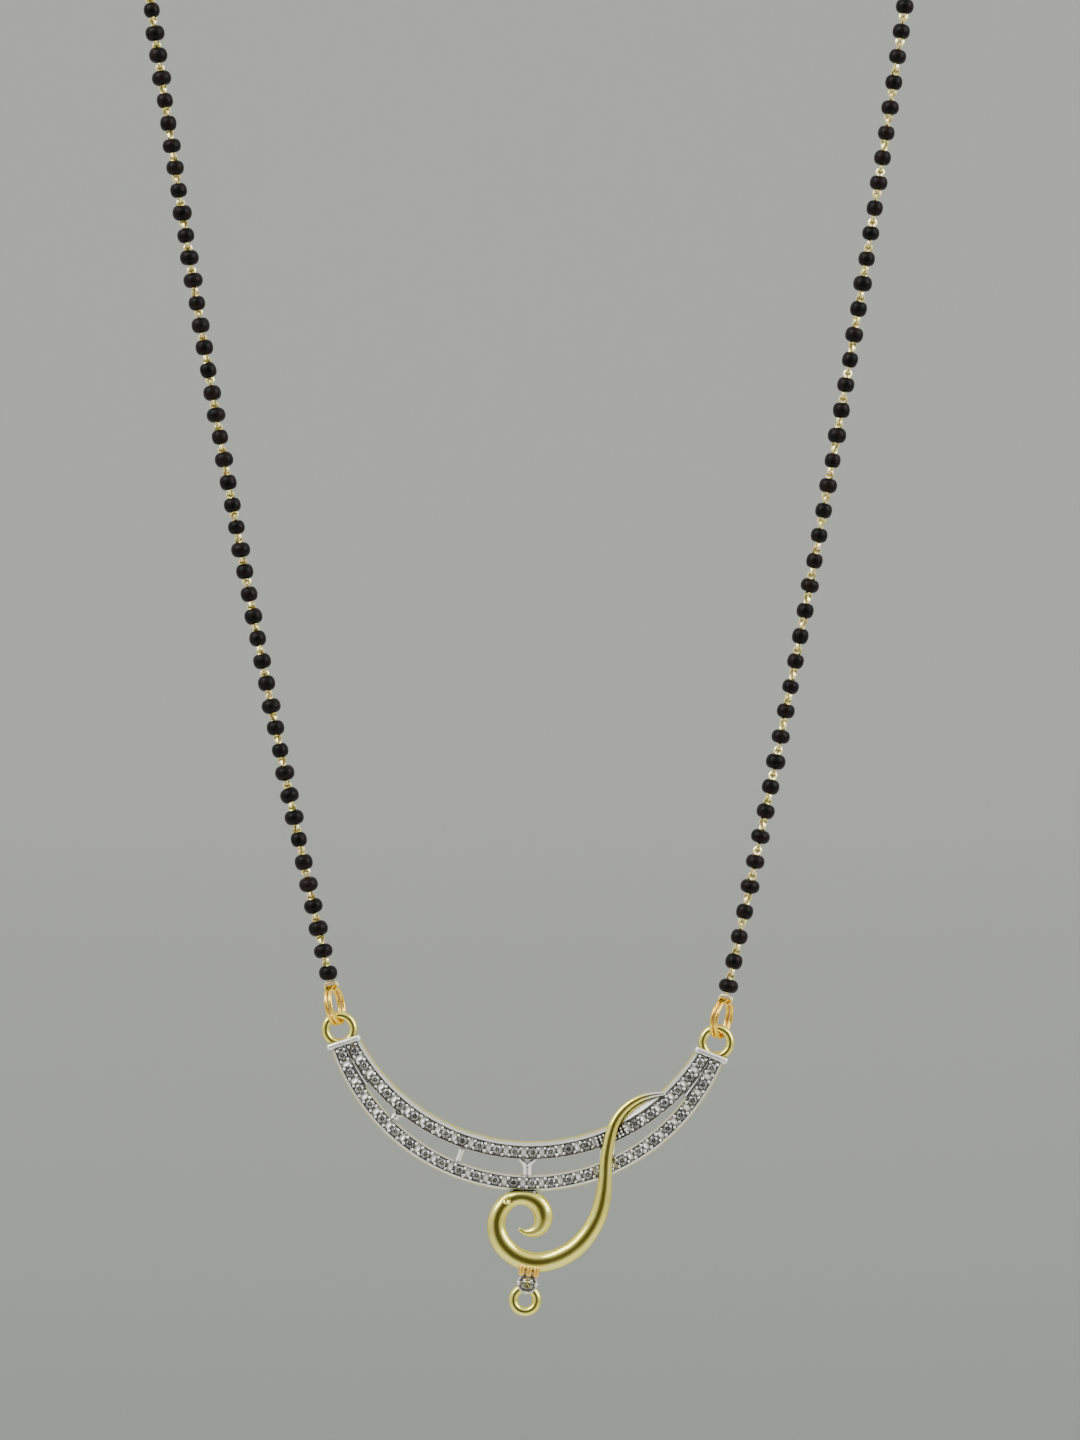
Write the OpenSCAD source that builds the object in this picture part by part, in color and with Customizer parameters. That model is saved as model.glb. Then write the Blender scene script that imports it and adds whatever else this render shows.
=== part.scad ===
// Mangalsutra: a loop of black glass beads on fine gold wire, with a pendant of two
// stone-set bars and a gold scroll. Millimetres, +Z up. The front faces -Y. Left and right
// are as seen from the front, so +X is right. The origin is the top of the loop.

/* [Necklace] */
// Radius of the loop where it goes round the back of the neck
neck_r = 45.4; // [42:0.2:60]
// Lean of each strand from upright where the neck arch ends
lean_top = 8; // [5:0.5:10]
// Height from the top of the loop down to the pendant's eyelets
pendant_drop = 175; // [160:1:200]
// How far the pendant hangs out of level, lower on the right
hang_tilt = 2; // [0:0.5:4]

/* [Beads] */
// Diameter of a bead
bead_d = 2.05; // [1.6:0.05:2.3]
// Length of a bead along its strand
bead_len = 1.8; // [1.4:0.05:2]
// Diameter of the hole drilled through a bead
bead_bore = 0.8; // [0.7:0.05:0.9]
// Distance from bead to bead on the left strand
left_pitch = 2.71; // [2.5:0.01:3.5]
// Distance from bead to bead on the right strand
right_pitch = 3.04; // [2.5:0.01:3.5]
// Diameter of the linked wire that the beads hang on
link_d = 0.44; // [0.36:0.02:0.5]

/* [Wire loops] */
// Inner width of the wire loop at each end of a strand
loop_inner = 1.3; // [1.2:0.05:1.6]
// Inner height of those loops along the strand
loop_height = 0.7; // [0.64:0.02:0.8]
// Wire diameter of those loops
loop_wire = 0.3; // [0.24:0.02:0.4]

/* [Jump rings] */
// Outer diameter of a jump ring
jump_d = 4.9; // [4.6:0.1:6]
// Wire diameter of a jump ring
jump_wire = 0.46; // [0.4:0.02:0.52]
// Clear space between the two rings of a pair
jump_gap = 0.08; // [0.06:0.02:0.16]
// Lean of the left pair, in line with the pull of its strand
left_lean = 13; // [6:1:15]
// Lean of the right pair
right_lean = 10; // [2:1:15]
// How far the left pair is turned from edge-on
left_turn = 17; // [0:1:25]
// How far the right pair is turned from edge-on
right_turn = 25; // [0:1:26]

/* [Clasp] */
// Diameter of each eye of the S hook, at the middle of its wire
hook_eye = 4.4; // [4:0.1:6]
// Wire diameter of the S hook
hook_wire = 1.1; // [0.9:0.05:1.3]
// How much of a full turn each eye makes
hook_sweep = 300; // [290:5:310]
// Diameter of the ball at each end of the S hook
hook_ball = 1.4; // [1.35:0.05:1.7]
// Outer diameter of the ring at the end of each strand
end_ring_d = 3.8; // [3.4:0.1:4.4]
// Wire diameter of that ring
end_ring_wire = 0.5; // [0.4:0.02:0.56]

/* [Pendant bars] */
// Distance between the middles of the two eyelets
pendant_w = 44.9; // [42:0.1:50]
// Depth of the upper bar's curve below the end bars
upper_h = 13; // [12:0.1:14]
// Depth of the lower bar's curve below the end bars
lower_h = 15.3; // [14.8:0.1:17]
// Width of the upper bar across its back
upper_w = 2.25; // [1.9:0.05:2.4]
// Width of the lower bar across its back
lower_w = 2.1; // [1.9:0.05:2.3]
// Thickness of the bars from back to front
bar_t = 1.7; // [1.5:0.05:2]
// How far each bar passes the line on which the two meet
bar_lap = 0.25; // [0.2:0.01:0.35]
// Width of the broad sloping side of a bar
broad_flank = 0.5; // [0.3:0.05:0.6]
// Width of its narrow sloping side
narrow_flank = 0.16; // [0.1:0.02:0.2]
// How far the middle of the bars lies behind the eyelets
bar_set_back = 0.1; // [0:0.05:0.2]

/* [Eyelets and end bars] */
// Outer diameter of an eyelet
eyelet_d = 4.3; // [3.9:0.05:4.6]
// Thickness of its round ring
eyelet_wire = 1; // [0.9:0.05:1.05]
// Slope of the end bars down towards the outside
end_slope = 20; // [16:1:24]
// Length of an end bar
end_len = 4.1; // [3.9:0.05:4.4]
// Width of an end bar as seen from the front
end_w = 0.75; // [0.6:0.05:0.85]
// How far an end bar stands proud of the bars, front and back
end_proud = 0.12; // [0.05:0.01:0.2]

/* [Stones of the bars] */
// Diameter of a stone
stone_d = 1.05; // [0.9:0.05:1.1]
// Least distance from stone to stone. The rows are spread evenly from end to end
stone_pitch = 2.12; // [2.06:0.02:3]
// Clear space round a stone in its drilled seat
stone_gap = 0.04; // [0.02:0.01:0.06]
// Diameter of a raised grain that holds a stone
grain_d = 0.4; // [0.3:0.02:0.42]
// Height of a grain above the face of the bar
grain_h = 0.16; // [0.1:0.02:0.25]

/* [Struts] */
// Width of a forked strut between the bars
fork_w = 1.1; // [0.8:0.05:1.2]
// Width of the plain strut
strut_w = 0.7; // [0.4:0.05:0.8]
// Thickness of the struts
strut_t = 1; // [0.8:0.05:1.4]
// Place of the left forked strut, in degrees round the upper bar from its lowest point
left_fork_angle = -37; // [-40:1:-34]
// Place of the middle forked strut
middle_fork_angle = 1; // [-4:1:4]
// Place of the plain strut
plain_strut_angle = -17; // [-20:1:-14]
// Width of the upright strut behind the scroll
upright_w = 1.8; // [1.4:0.1:2]
// Place of the upright strut
upright_angle = 22.5; // [22:0.5:23]
// Place where the gap between the bars begins at each end, in degrees round the upper bar
gap_end_angle = 48.5; // [47:0.5:50]
// Width of the solder between the lower bar and the top of the scroll's coil
solder_w = 1.7; // [1.2:0.1:2]
// Place of the solder to the right of the pendant's middle
solder_x = 0.7; // [0.4:0.1:1]

/* [Scroll] */
// Height of the scroll along the middle of its rod
scroll_h = 20.9; // [20:0.1:22]
// Width of the rod where it is widest
rod_w = 2.4; // [2.2:0.05:2.6]
// Depth of the rod as a share of its width
rod_flat = 0.78; // [0.7:0.01:0.9]
// How far the rod's middle stands out from the eyelets where it crosses the bars
scroll_out = 1.1; // [1:0.05:1.2]
// Place of its thin tip, in degrees round the upper bar from the lowest point
tip_angle = 44.6; // [43:0.1:46]

/* [Drop] */
// Place of the drop to the right of the pendant's middle
drop_x = 1.1; // [0.7:0.1:1.4]
// Lean of the drop out of the pendant's upright, towards the left at its lower end
drop_lean = 6; // [0:1:8]
// Diameter of its stone
drop_stone_d = 1.5; // [1.3:0.05:1.6]
// Outer diameter of the cup that holds the stone
cup_d = 2.4; // [2.1:0.05:2.5]
// Depth of that cup from front to back
cup_t = 1.3; // [1.2:0.05:1.6]
// Space between the underside of the scroll and the cup
cup_gap = 0.25; // [0.15:0.05:0.35]
// Diameter of each claw of the cup
claw_d = 0.5; // [0.36:0.02:0.56]
// Diameter of the three upright studs above the cup
stud_d = 0.74; // [0.6:0.02:0.8]
// Distance between the middles of the studs
stud_pitch = 0.85; // [0.85:0.01:0.95]
// Height of those studs
stud_h = 1.4; // [1.35:0.05:1.6]
// How far their tops stand above the underside of the scroll
stud_over = 0.9; // [0.8:0.05:1]
// How far their middles stand in front of the middle of the drop
stud_out = 0.6; // [0.45:0.05:0.65]
// Outer diameter of the open ring below the cup
drop_ring_d = 3.9; // [3.6:0.05:4.2]
// Thickness of that ring
drop_ring_wire = 1.1; // [0.9:0.05:1.2]

/* [Hidden] */

GOLD = "#d9c489";
WARM_GOLD = "#e0b25a";
SILVER = "#c9c9c6";
BLACK = "#101012";
CLEAR = "#e6ecf2";

LEFT = -1;
RIGHT = 1;
OUTER = 1;
INNER = -1;

// Clear space where one ring hangs in another, and more where the pendant swings
play = 0.06;
swing_play = 0.15;

// The scroll as arcs that follow on from each other, from its thin tip to the inner end
// of the coil. Columns: radius as a share of scroll_h, turn in degrees, then at the
// end of the arc the width as a share of rod_w and the stand-out as a share of scroll_out.
SCROLL = [
    [0.484, 11, 0.31, 0.75],
    [0.286, 42, 0.48, 0.95],
    [0.257, 18, 0.53, 1.00],
    [0.933, 15, 0.65, 0.95],
    [1.010, -10, 0.80, 0.72],
    [0.469, -32, 0.92, 0.40],
    [0.378, -36, 0.98, -0.05],
    [0.242, -71, 0.97, -0.10],
    [0.177, -69, 0.82, -0.10],
    [0.133, -45, 0.74, -0.10],
    [0.133, -46, 0.90, -0.10],
    [0.107, -37, 1.00, -0.10],
    [0.107, -37, 0.84, -0.10],
    [0.078, -54, 0.52, -0.10],
    [0.078, -54, 0.10, -0.10]
];
RADIUS = 0;
TURN = 1;
WIDTH = 2;
STAND_OUT = 3;
// Row of the arc that runs under the coil, where the drop hangs
UNDER_COIL = 7;
scroll_heading = 184.6;
tip_share = 0.15;
// How far the tip lies on the bar's sloping side, as a share of that side
tip_flank_share = 0.9;
// Most degrees of turn from one section of the rod to the next
rod_step = 13;
rod_sides = 14;

// A stone's section, as shares of its diameter
table_share = 0.56;
crown_share = 0.16;
girdle_share = 0.03;
pavilion_share = 0.42;
// How far the girdle lies below the face, as a share of the stone
girdle_sink = 0.08;
// Places of the grains round a stone, as shares of its diameter: along and across the bar
grain_along = 0.63;
grain_across = 0.43;

// Sizes of the rings at the middle of their wire
eyelet_r = (eyelet_d - eyelet_wire) / 2;
jump_r = (jump_d - jump_wire) / 2;
end_ring_r = (end_ring_d - end_ring_wire) / 2;
loop_r = (loop_height + loop_wire) / 2;
loop_straight = (loop_inner - loop_height) / 2;
drop_ring_r = (drop_ring_d - drop_ring_wire) / 2;
hook_r = hook_eye / 2;

// Heights of the jump rings and loops above an eyelet, along the lean of the rings. The
// two rings of a pair lie side by side, so each meets the eyelet's round below its top.
function jump_lean(side) = side == LEFT ? left_lean : right_lean;
jump_pair = (jump_wire + jump_gap) / 2;
jump_aside = jump_pair / cos(max(left_turn, right_turn));
jump_reach = eyelet_r - (eyelet_wire + jump_wire) / 2 - swing_play;
jump_low = sqrt(pow(jump_reach, 2) - pow(jump_aside, 2));
jump_mid = jump_low + jump_r;
loop_lift = loop_height / 2 - jump_wire / 2 - play;
loop_mid = jump_mid + jump_r + loop_lift;

// The middle line of the right strand, from the top of the loop down to its last wire
// loop. The left strand is its mirror image, apart from the tilt.
arch_len = neck_r * (90 + lean_top) * PI / 180;
arch_end = [neck_r * cos(lean_top), -neck_r * (1 + sin(lean_top))];
function loop_x(side) = pendant_w / 2 + loop_mid * sin(jump_lean(side));
function loop_z(side) = loop_mid * cos(jump_lean(side));
function strand_foot(side) = [
    loop_x(side) * cos(hang_tilt) + side * loop_z(side) * sin(hang_tilt),
    loop_z(side) * cos(hang_tilt) - side * loop_x(side) * sin(hang_tilt) - pendant_drop
];
function chord(side) = arch_end - strand_foot(side);
function bend(side) = atan2(chord(side)[0], chord(side)[1]) - lean_top;
function strand_len(side) = norm(chord(side)) * bend(side) * PI / 180 / sin(bend(side));
function route_len(side) = arch_len + strand_len(side);
function share(side, s) = (s - arch_len) / strand_len(side);
function lean_at(side, s) =
    s < arch_len ? s / neck_r * 180 / PI - 90 : lean_top + 2 * bend(side) * share(side, s);
function arch_point(s) =
    let (a = s / neck_r * 180 / PI)
    [neck_r * sin(a), neck_r * (cos(a) - 1)];
function strand_point(side, t) =
    let (reach = norm(chord(side)) * sin(t * bend(side)) / sin(bend(side)))
    let (lean = lean_top + t * bend(side))
    arch_end - reach * [sin(lean), cos(lean)];
function route_point(side, s) =
    s < arch_len ? arch_point(s) : strand_point(side, share(side, s));

// Stations along a strand, measured from the top of the loop
end_ring_at = 2 * hook_r - (hook_wire + end_ring_wire) / 2 - play + end_ring_r;
top_loop_at = end_ring_at + end_ring_r - (end_ring_wire + loop_wire) / 2 - play + loop_r;
first_bead_at = top_loop_at + loop_r + loop_wire / 2 + play + bead_len / 2;
function last_bead_at(side) = route_len(side) - loop_r - loop_wire / 2 - play - bead_len / 2;
function pitch(side) = side == LEFT ? left_pitch : right_pitch;
function turn(side) = side == LEFT ? left_turn : -right_turn;
function bead_count(side) = floor((last_bead_at(side) - first_bead_at) / pitch(side)) + 1;

// Straight steps in a bead's outline, from its widest place to the hole
bead_steps = 4;

// Distances between the sections of the wire's tube, closer round the arch
arch_section_gap = 4.6;
strand_section_gap = 10;
wire_sides = 8;

// The curves of the bars. Both pass through the middle of each end bar.
end_x = pendant_w / 2 - eyelet_r * sin(end_slope);
end_z = -eyelet_r * cos(end_slope);
function curve_r(depth) = (end_x * end_x + depth * depth) / (2 * depth);
upper_r = curve_r(upper_h);
lower_r = curve_r(lower_h);
upper_z = end_z - upper_h + upper_r;
lower_z = end_z - lower_h + lower_r;
upper_span = atan2(end_x, upper_z - end_z);
lower_span = atan2(end_x, lower_z - end_z);
upper_out = upper_r + bar_lap;
upper_in = upper_out - upper_w;
lower_in = lower_r - bar_lap;
lower_out = lower_in + lower_w;
bar_back = -bar_set_back - bar_t / 2;
bar_front = bar_back + bar_t;
bar_mid = bar_back + bar_t / 2;
upper_row_r = (upper_in + broad_flank + upper_out - narrow_flank) / 2;
lower_row_r = (lower_in + narrow_flank + lower_out - broad_flank) / 2;

// Clear width between the backs of the bars, at an angle round the upper bar
function gap_w(a) = lower_in + (upper_z - lower_z) * cos(a) - upper_out;
// How far a strut runs into the bars past their narrow sloping sides
strut_bite = 0.15;
function strut_reach(a) = gap_w(a) / 2 + narrow_flank + strut_bite;
// Lean of a forked strut's arms, and the lengths of its stem and arms as shares of its reach
fork_lean = 38;
stem_share = 1.2;
arm_share = 1.15;
// The plate that fills the gap's narrow end: its sink below the bars' face, how far it runs
// into the bars past their sloping sides, and half its least width
plate_sink = 0.1;
plate_bite = 0.06;
plate_least = 0.1;
plate_steps = 6;
bars_apart = upper_z - lower_z;
function lower_bar_at(a) =
    bars_apart * cos(a) + sqrt(lower_in * lower_in - pow(bars_apart * sin(a), 2));
function plate_point(a, way) =
    let (middle = (upper_out + lower_bar_at(a)) / 2)
    let (half = max(middle - upper_out + narrow_flank + plate_bite, plate_least))
    let (r = middle + way * half)
    [r * sin(a), upper_z - r * cos(a)];
plate_angles = [
    for (i = [0:plate_steps])
        gap_end_angle + (upper_span - gap_end_angle) * i / plate_steps
];
plate_outline = concat(
    [for (a = plate_angles) plate_point(a, -1)],
    [for (i = [plate_steps:-1:0]) plate_point(plate_angles[i], 1)]);
// How far the solder reaches into the bar and into the coil, and its thickness
solder_reach = 0.4;
solder_t = 0.9;

// The scroll's rod, one row for each of its sections, with these columns
ROD_X = 0;
ROD_UP = 1;
ROD_FRONT = 2;
ROD_HEADING = 3;
ROD_HALF_WIDTH = 4;
ROD_HALF_DEPTH = 5;
scroll_moves = [
    for (i = [0:len(SCROLL) - 1])
        let (arc = SCROLL[i], n = ceil(abs(arc[TURN]) / rod_step))
        let (w = i == 0 ? tip_share : SCROLL[i - 1][WIDTH])
        let (out = i == 0 ? arc[STAND_OUT] : SCROLL[i - 1][STAND_OUT])
        for (k = [1:n]) [
            arc[RADIUS] * scroll_h * abs(arc[TURN]) * PI / 180 / n,
            arc[TURN] / n,
            w + (arc[WIDTH] - w) * k / n,
            out + (arc[STAND_OUT] - out) * k / n
        ]
];
function rod_row(x, up, heading, w, out) =
    [x, up, scroll_out * out, heading, rod_w * w / 2, rod_w * w * rod_flat / 2];
function rod_from(i, x, up, heading) =
    i == len(scroll_moves) ? [] :
    let (move = scroll_moves[i], mid = heading + move[TURN] / 2)
    let (x2 = x + move[0] * cos(mid), up2 = up + move[0] * sin(mid))
    let (heading2 = heading + move[TURN])
    concat([rod_row(x2, up2, heading2, move[WIDTH], move[STAND_OUT])],
           rod_from(i + 1, x2, up2, heading2));
tip_r = upper_in + tip_flank_share * broad_flank;
tip_x = tip_r * sin(tip_angle);
tip_up = upper_z - tip_r * cos(tip_angle);
scroll_rod = concat([rod_row(tip_x, tip_up, scroll_heading, tip_share, SCROLL[0][STAND_OUT])],
                    rod_from(0, tip_x, tip_up, scroll_heading));

// The web that fills the space between the scroll's tip and the upper bar. It ends on the
// bar's broad sloping side, short of the stones, and in front on the face's level.
web_flank_share = 0.8;
web_r = upper_in + web_flank_share * broad_flank;
web_steps = 6;
function out_of_bar(p) = norm([p[ROD_X], upper_z - p[ROD_UP]]) < web_r;
web_rod = [for (p = scroll_rod) if (out_of_bar(p)) [p[ROD_X], p[ROD_UP]]];
web_end = web_rod[len(web_rod) - 1];
web_end_angle = atan2(web_end[0], upper_z - web_end[1]);
web_outline = concat(web_rod, [
    for (i = [0:web_steps])
        let (a = web_end_angle + (tip_angle - web_end_angle) * i / web_steps)
        [web_r * sin(a), upper_z - web_r * cos(a)]
]);

// Where the drop meets the underside of the scroll, which runs to the left there
underside_spread = 50;
rod_underside = [
    for (p = scroll_rod)
        if (abs(p[ROD_HEADING] - 180) < underside_spread)
            [p[ROD_X], p[ROD_UP] - p[ROD_HALF_WIDTH]]
];
drop_top = lookup(drop_x, rod_underside);
drop_front = scroll_out * SCROLL[UNDER_COIL][STAND_OUT];
// Share of its own thickness by which the open ring runs into the cup
ring_lap_share = 1.06;
// Heights in the drop, from the underside of the scroll
cup_up = -cup_d / 2 - cup_gap;
ring_up = cup_up - (cup_d + drop_ring_d) / 2 + drop_ring_wire * ring_lap_share;
drop_seat_floor = cup_t / 2 - (girdle_share + pavilion_share) * drop_stone_d - stone_gap;
claw_r = cup_d / 2 - claw_d / 3;

// Clear space between a stone and the scroll, and at each end of a row
rod_clear = 0.15;
row_end_clear = 0.3;
// Angles of the stones along a bar, without those that the scroll would cover
function row_point(mid_up, r, a) = [r * sin(a), mid_up - r * cos(a)];
function rod_point(i) = [scroll_rod[i][ROD_X], scroll_rod[i][ROD_UP]];
function rod_distance(p, i) =
    let (from = rod_point(i), along = rod_point(i + 1) - from)
    let (t = max(0, min(1, (p - from) * along / (along * along))))
    let (half = [scroll_rod[i][ROD_HALF_WIDTH], scroll_rod[i + 1][ROD_HALF_WIDTH]])
    norm(p - from - t * along) - half[0] - t * (half[1] - half[0]);
function clear_of_rod(p) =
    min([for (i = [0:len(scroll_rod) - 2]) rod_distance(p, i)]) > stone_d / 2 + rod_clear;
function row_angles(mid_up, r, span) =
    let (step = stone_pitch / r * 180 / PI)
    let (end = (end_w + stone_d + grain_d) / 2 + row_end_clear)
    let (room = span - end / r * 180 / PI)
    let (n = 2 * floor(room / step + 0.5))
    [for (i = [0:n - 1])
        let (a = room * (2 * i / (n - 1) - 1))
        if (clear_of_rod(row_point(mid_up, r, a))) a];
upper_angles = row_angles(upper_z, upper_row_r, upper_span);
lower_angles = row_angles(lower_z, lower_row_r, lower_span);

// Mirrors a right-hand piece onto the left side
module on_side(side) {
    mirror([side == LEFT ? 1 : 0, 0, 0]) children();
}

// Puts a piece on a strand's middle line, with its own Z along the line
module on_route(side, s) {
    p = route_point(side, s);
    on_side(side) translate([p[0], 0, p[1]]) rotate([0, lean_at(side, s), 0]) children();
}

// Stands a piece up that is drawn lying flat with its front upwards
module face_front() {
    rotate([90, 0, 0]) children();
}

// Hangs what is drawn round the middle between the eyelets in its place
module hang() {
    translate([0, 0, -pendant_drop]) rotate([0, hang_tilt, 0]) children();
}

module ring(r, wire) {
    rotate_extrude($fn = 64) translate([r, 0]) circle(d = wire, $fn = 24);
}

// A rod swept through rows that have the columns of the scroll's rod
module swept_rod(rows, sides) {
    last = len(rows) - 1;
    points = [
        for (p = rows)
            for (j = [0:sides - 1])
                let (a = 360 * (j + 0.5) / sides)
                [p[ROD_X] - sin(p[ROD_HEADING]) * p[ROD_HALF_WIDTH] * cos(a),
                 p[ROD_UP] + cos(p[ROD_HEADING]) * p[ROD_HALF_WIDTH] * cos(a),
                 p[ROD_FRONT] + p[ROD_HALF_DEPTH] * sin(a)]
    ];
    walls = [
        for (i = [0:last - 1])
            for (j = [0:sides - 1])
                let (a = i * sides + j, b = i * sides + (j + 1) % sides)
                each [[a, b + sides, b], [a, a + sides, b + sides]]
    ];
    start_cap = [for (j = [0:sides - 1]) j];
    end_cap = [for (j = [sides - 1:-1:0]) last * sides + j];
    polyhedron(points, concat(walls, [start_cap, end_cap]));
}

module clasp() {
    color(WARM_GOLD) face_front()
        for (half = [0, 180])
            rotate(half) translate([-hook_r, 0]) {
                rotate_extrude(angle = hook_sweep, $fn = 64)
                    translate([hook_r, 0]) circle(d = hook_wire, $fn = 24);
                rotate(hook_sweep) translate([hook_r, 0])
                    sphere(d = hook_ball, $fn = 24);
            }
}

// A wire loop lying flat, with straight sides along X and a round at each end
module wire_loop() {
    for (end = [0, 180])
        rotate(end) {
            translate([loop_straight, 0]) rotate(-90) rotate_extrude(angle = 180, $fn = 48)
                translate([loop_r, 0]) circle(d = loop_wire, $fn = 16);
            translate([-loop_straight, loop_r]) rotate([0, 90, 0])
                cylinder(d = loop_wire, h = 2 * loop_straight, $fn = 16);
        }
}

module end_ring(side) {
    color(WARM_GOLD) on_route(side, end_ring_at)
        rotate([0, 90, 0]) ring(end_ring_r, end_ring_wire);
}

// A bead's outline is a round of bead_len, cut by the hole, in short straight steps
module bead() {
    half = bead_len / 2;
    middle = bead_d / 2 - half;
    edge = acos((bead_bore / 2 - middle) / half);
    rotate_extrude($fn = 32) polygon([
        for (i = [-bead_steps:bead_steps])
            let (a = edge * i / bead_steps)
            [middle + half * cos(a), half * sin(a)]
    ]);
}

module beads(side) {
    color(BLACK) for (i = [0:bead_count(side) - 1])
        on_route(side, last_bead_at(side) - i * pitch(side)) bead();
}

// The linked wire of one strand, plain, with the loop at each of its ends
module links(side) {
    from = top_loop_at + loop_r;
    to = route_len(side) - loop_r;
    arch_steps = ceil((arch_len - from) / arch_section_gap);
    strand_steps = ceil((to - arch_len) / strand_section_gap);
    stations = concat(
        [for (i = [0:arch_steps - 1]) from + (arch_len - from) * i / arch_steps],
        [for (i = [0:strand_steps]) arch_len + (to - arch_len) * i / strand_steps]
    );
    rows = [
        for (s = stations)
            let (p = route_point(side, s))
            [p[0], p[1], 0, -lean_at(side, s) - 90, link_d / 2, link_d / 2]
    ];
    color(GOLD) {
        on_side(side) face_front() swept_rod(rows, wire_sides);
        on_route(side, top_loop_at) rotate([90, 0, 0]) wire_loop();
        hang() foot_loop(side);
    }
}

// The lower loop of a strand, square to the jump rings that it holds
module foot_loop(side) {
    on_side(side) translate([pendant_w / 2, 0, 0]) rotate([0, jump_lean(side), 0])
        translate([0, 0, loop_mid]) rotate([90, 0, turn(side)]) wire_loop();
}

module jump_ring(side, place) {
    color(WARM_GOLD) hang() on_side(side) translate([pendant_w / 2, 0, 0])
        rotate([0, jump_lean(side), 0]) translate([0, 0, jump_mid]) rotate(turn(side))
            translate([place * jump_pair, 0, 0]) rotate([0, 90, 0])
                ring(jump_r, jump_wire);
}

// A bar of the pendant, with its broad flank on the inside or the outside of its curve
module bar(r_in, r_out, flank_in, flank_out, up, span) {
    translate([0, up, 0]) rotate(-90 - span) rotate_extrude(angle = 2 * span, $fn = 128)
        polygon([[r_in, bar_back], [r_out, bar_back],
                 [r_out - flank_out, bar_front], [r_in + flank_in, bar_front]]);
}

module along_row(angles, up, r) {
    for (a = angles)
        translate([0, up, 0]) rotate(a) translate([0, -r, 0]) children();
}

module grains_of_stone() {
    for (along = [-1, 1], across = [-1, 1])
        translate([along * grain_along * stone_d, across * grain_across * stone_d])
            circle(d = grain_d, $fn = 24);
}

module seats(angles, up, r) {
    depth = (girdle_sink + pavilion_share + girdle_share) * stone_d + 2 * stone_gap;
    along_row(angles, up, r) translate([0, 0, bar_front - depth])
        cylinder(d = stone_d + 2 * stone_gap, h = depth + grain_h, $fn = 32);
}

module grains(angles, up, r) {
    translate([0, 0, bar_front - grain_h]) linear_extrude(2 * grain_h)
        along_row(angles, up, r) grains_of_stone();
}

module eyelet_and_end_bar(side) {
    on_side(side) {
        translate([pendant_w / 2, 0, 0]) ring(eyelet_r, eyelet_wire);
        translate([end_x, end_z, bar_mid]) rotate(-end_slope)
            cube([end_len, end_w, bar_t + 2 * end_proud], center = true);
    }
}

// Puts a strut's outline in the gap between the bars, with its own Y towards the upper bar
module in_gap(a) {
    translate([0, upper_z, bar_mid - strut_t / 2]) rotate(a)
        translate([0, -(upper_out + gap_w(a) / 2), 0]) linear_extrude(strut_t) children();
}

module forked_strut(a) {
    reach = strut_reach(a);
    in_gap(a) {
        translate([-fork_w / 2, -reach]) square([fork_w, reach * stem_share]);
        for (lean = [-fork_lean, fork_lean])
            rotate(lean) translate([-fork_w / 4, 0]) square([fork_w / 2, reach * arm_share]);
    }
}

module plain_strut(a) {
    in_gap(a) square([strut_w, 2 * strut_reach(a)], center = true);
}

// The upright strut behind the scroll, between the bars
module upright_strut() {
    reach = strut_reach(upright_angle) / cos(upright_angle);
    in_gap(upright_angle) rotate(-upright_angle) square([upright_w, 2 * reach], center = true);
}

module web() {
    translate([0, 0, bar_mid - strut_t / 2]) linear_extrude(strut_t / 2 + bar_front - bar_mid)
        polygon(web_outline);
}

// The plate between the bars where they run together at an end
module end_plate(side) {
    on_side(side) translate([0, 0, bar_mid - strut_t / 2])
        linear_extrude(strut_t / 2 + bar_front - bar_mid - plate_sink) polygon(plate_outline);
}

// The solder that joins the coil to the lowest place of the lower bar
module solder() {
    translate([solder_x, lower_z - lower_out, bar_mid])
        cube([solder_w, 2 * solder_reach, solder_t], center = true);
}

// Hangs the parts of the drop from the underside of the scroll
module at_drop() {
    translate([drop_x, drop_top, drop_front]) rotate(-drop_lean) children();
}

module drop() {
    at_drop() {
        for (i = [-1, 0, 1])
            translate([i * stud_pitch, stud_over, stud_out])
                rotate([90, 0, 0]) cylinder(d = stud_d, h = stud_h, $fn = 24);
        difference() {
            union() {
                translate([0, cup_up, -cup_t / 2]) cylinder(d = cup_d, h = cup_t, $fn = 40);
                translate([0, ring_up, 0]) ring(drop_ring_r, drop_ring_wire);
                for (a = [0:90:270])
                    translate([0, cup_up, 0]) rotate(a) translate([claw_r, 0, 0])
                        cylinder(d = claw_d, h = cup_t / 2 + grain_h, $fn = 24);
            }
            translate([0, cup_up, drop_seat_floor])
                cylinder(d = drop_stone_d + 2 * stone_gap, h = cup_t, $fn = 40);
        }
    }
}

module pendant() {
    color(SILVER) hang() face_front() {
        difference() {
            union() {
                bar(upper_in, upper_out, broad_flank, narrow_flank, upper_z, upper_span);
                bar(lower_in, lower_out, narrow_flank, broad_flank, lower_z, lower_span);
                grains(upper_angles, upper_z, upper_row_r);
                grains(lower_angles, lower_z, lower_row_r);
            }
            seats(upper_angles, upper_z, upper_row_r);
            seats(lower_angles, lower_z, lower_row_r);
        }
        eyelet_and_end_bar(LEFT);
        eyelet_and_end_bar(RIGHT);
        end_plate(LEFT);
        end_plate(RIGHT);
        forked_strut(left_fork_angle);
        forked_strut(middle_fork_angle);
        plain_strut(plain_strut_angle);
        upright_strut();
        web();
        solder();
        swept_rod(scroll_rod, rod_sides);
        drop();
    }
}

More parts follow.
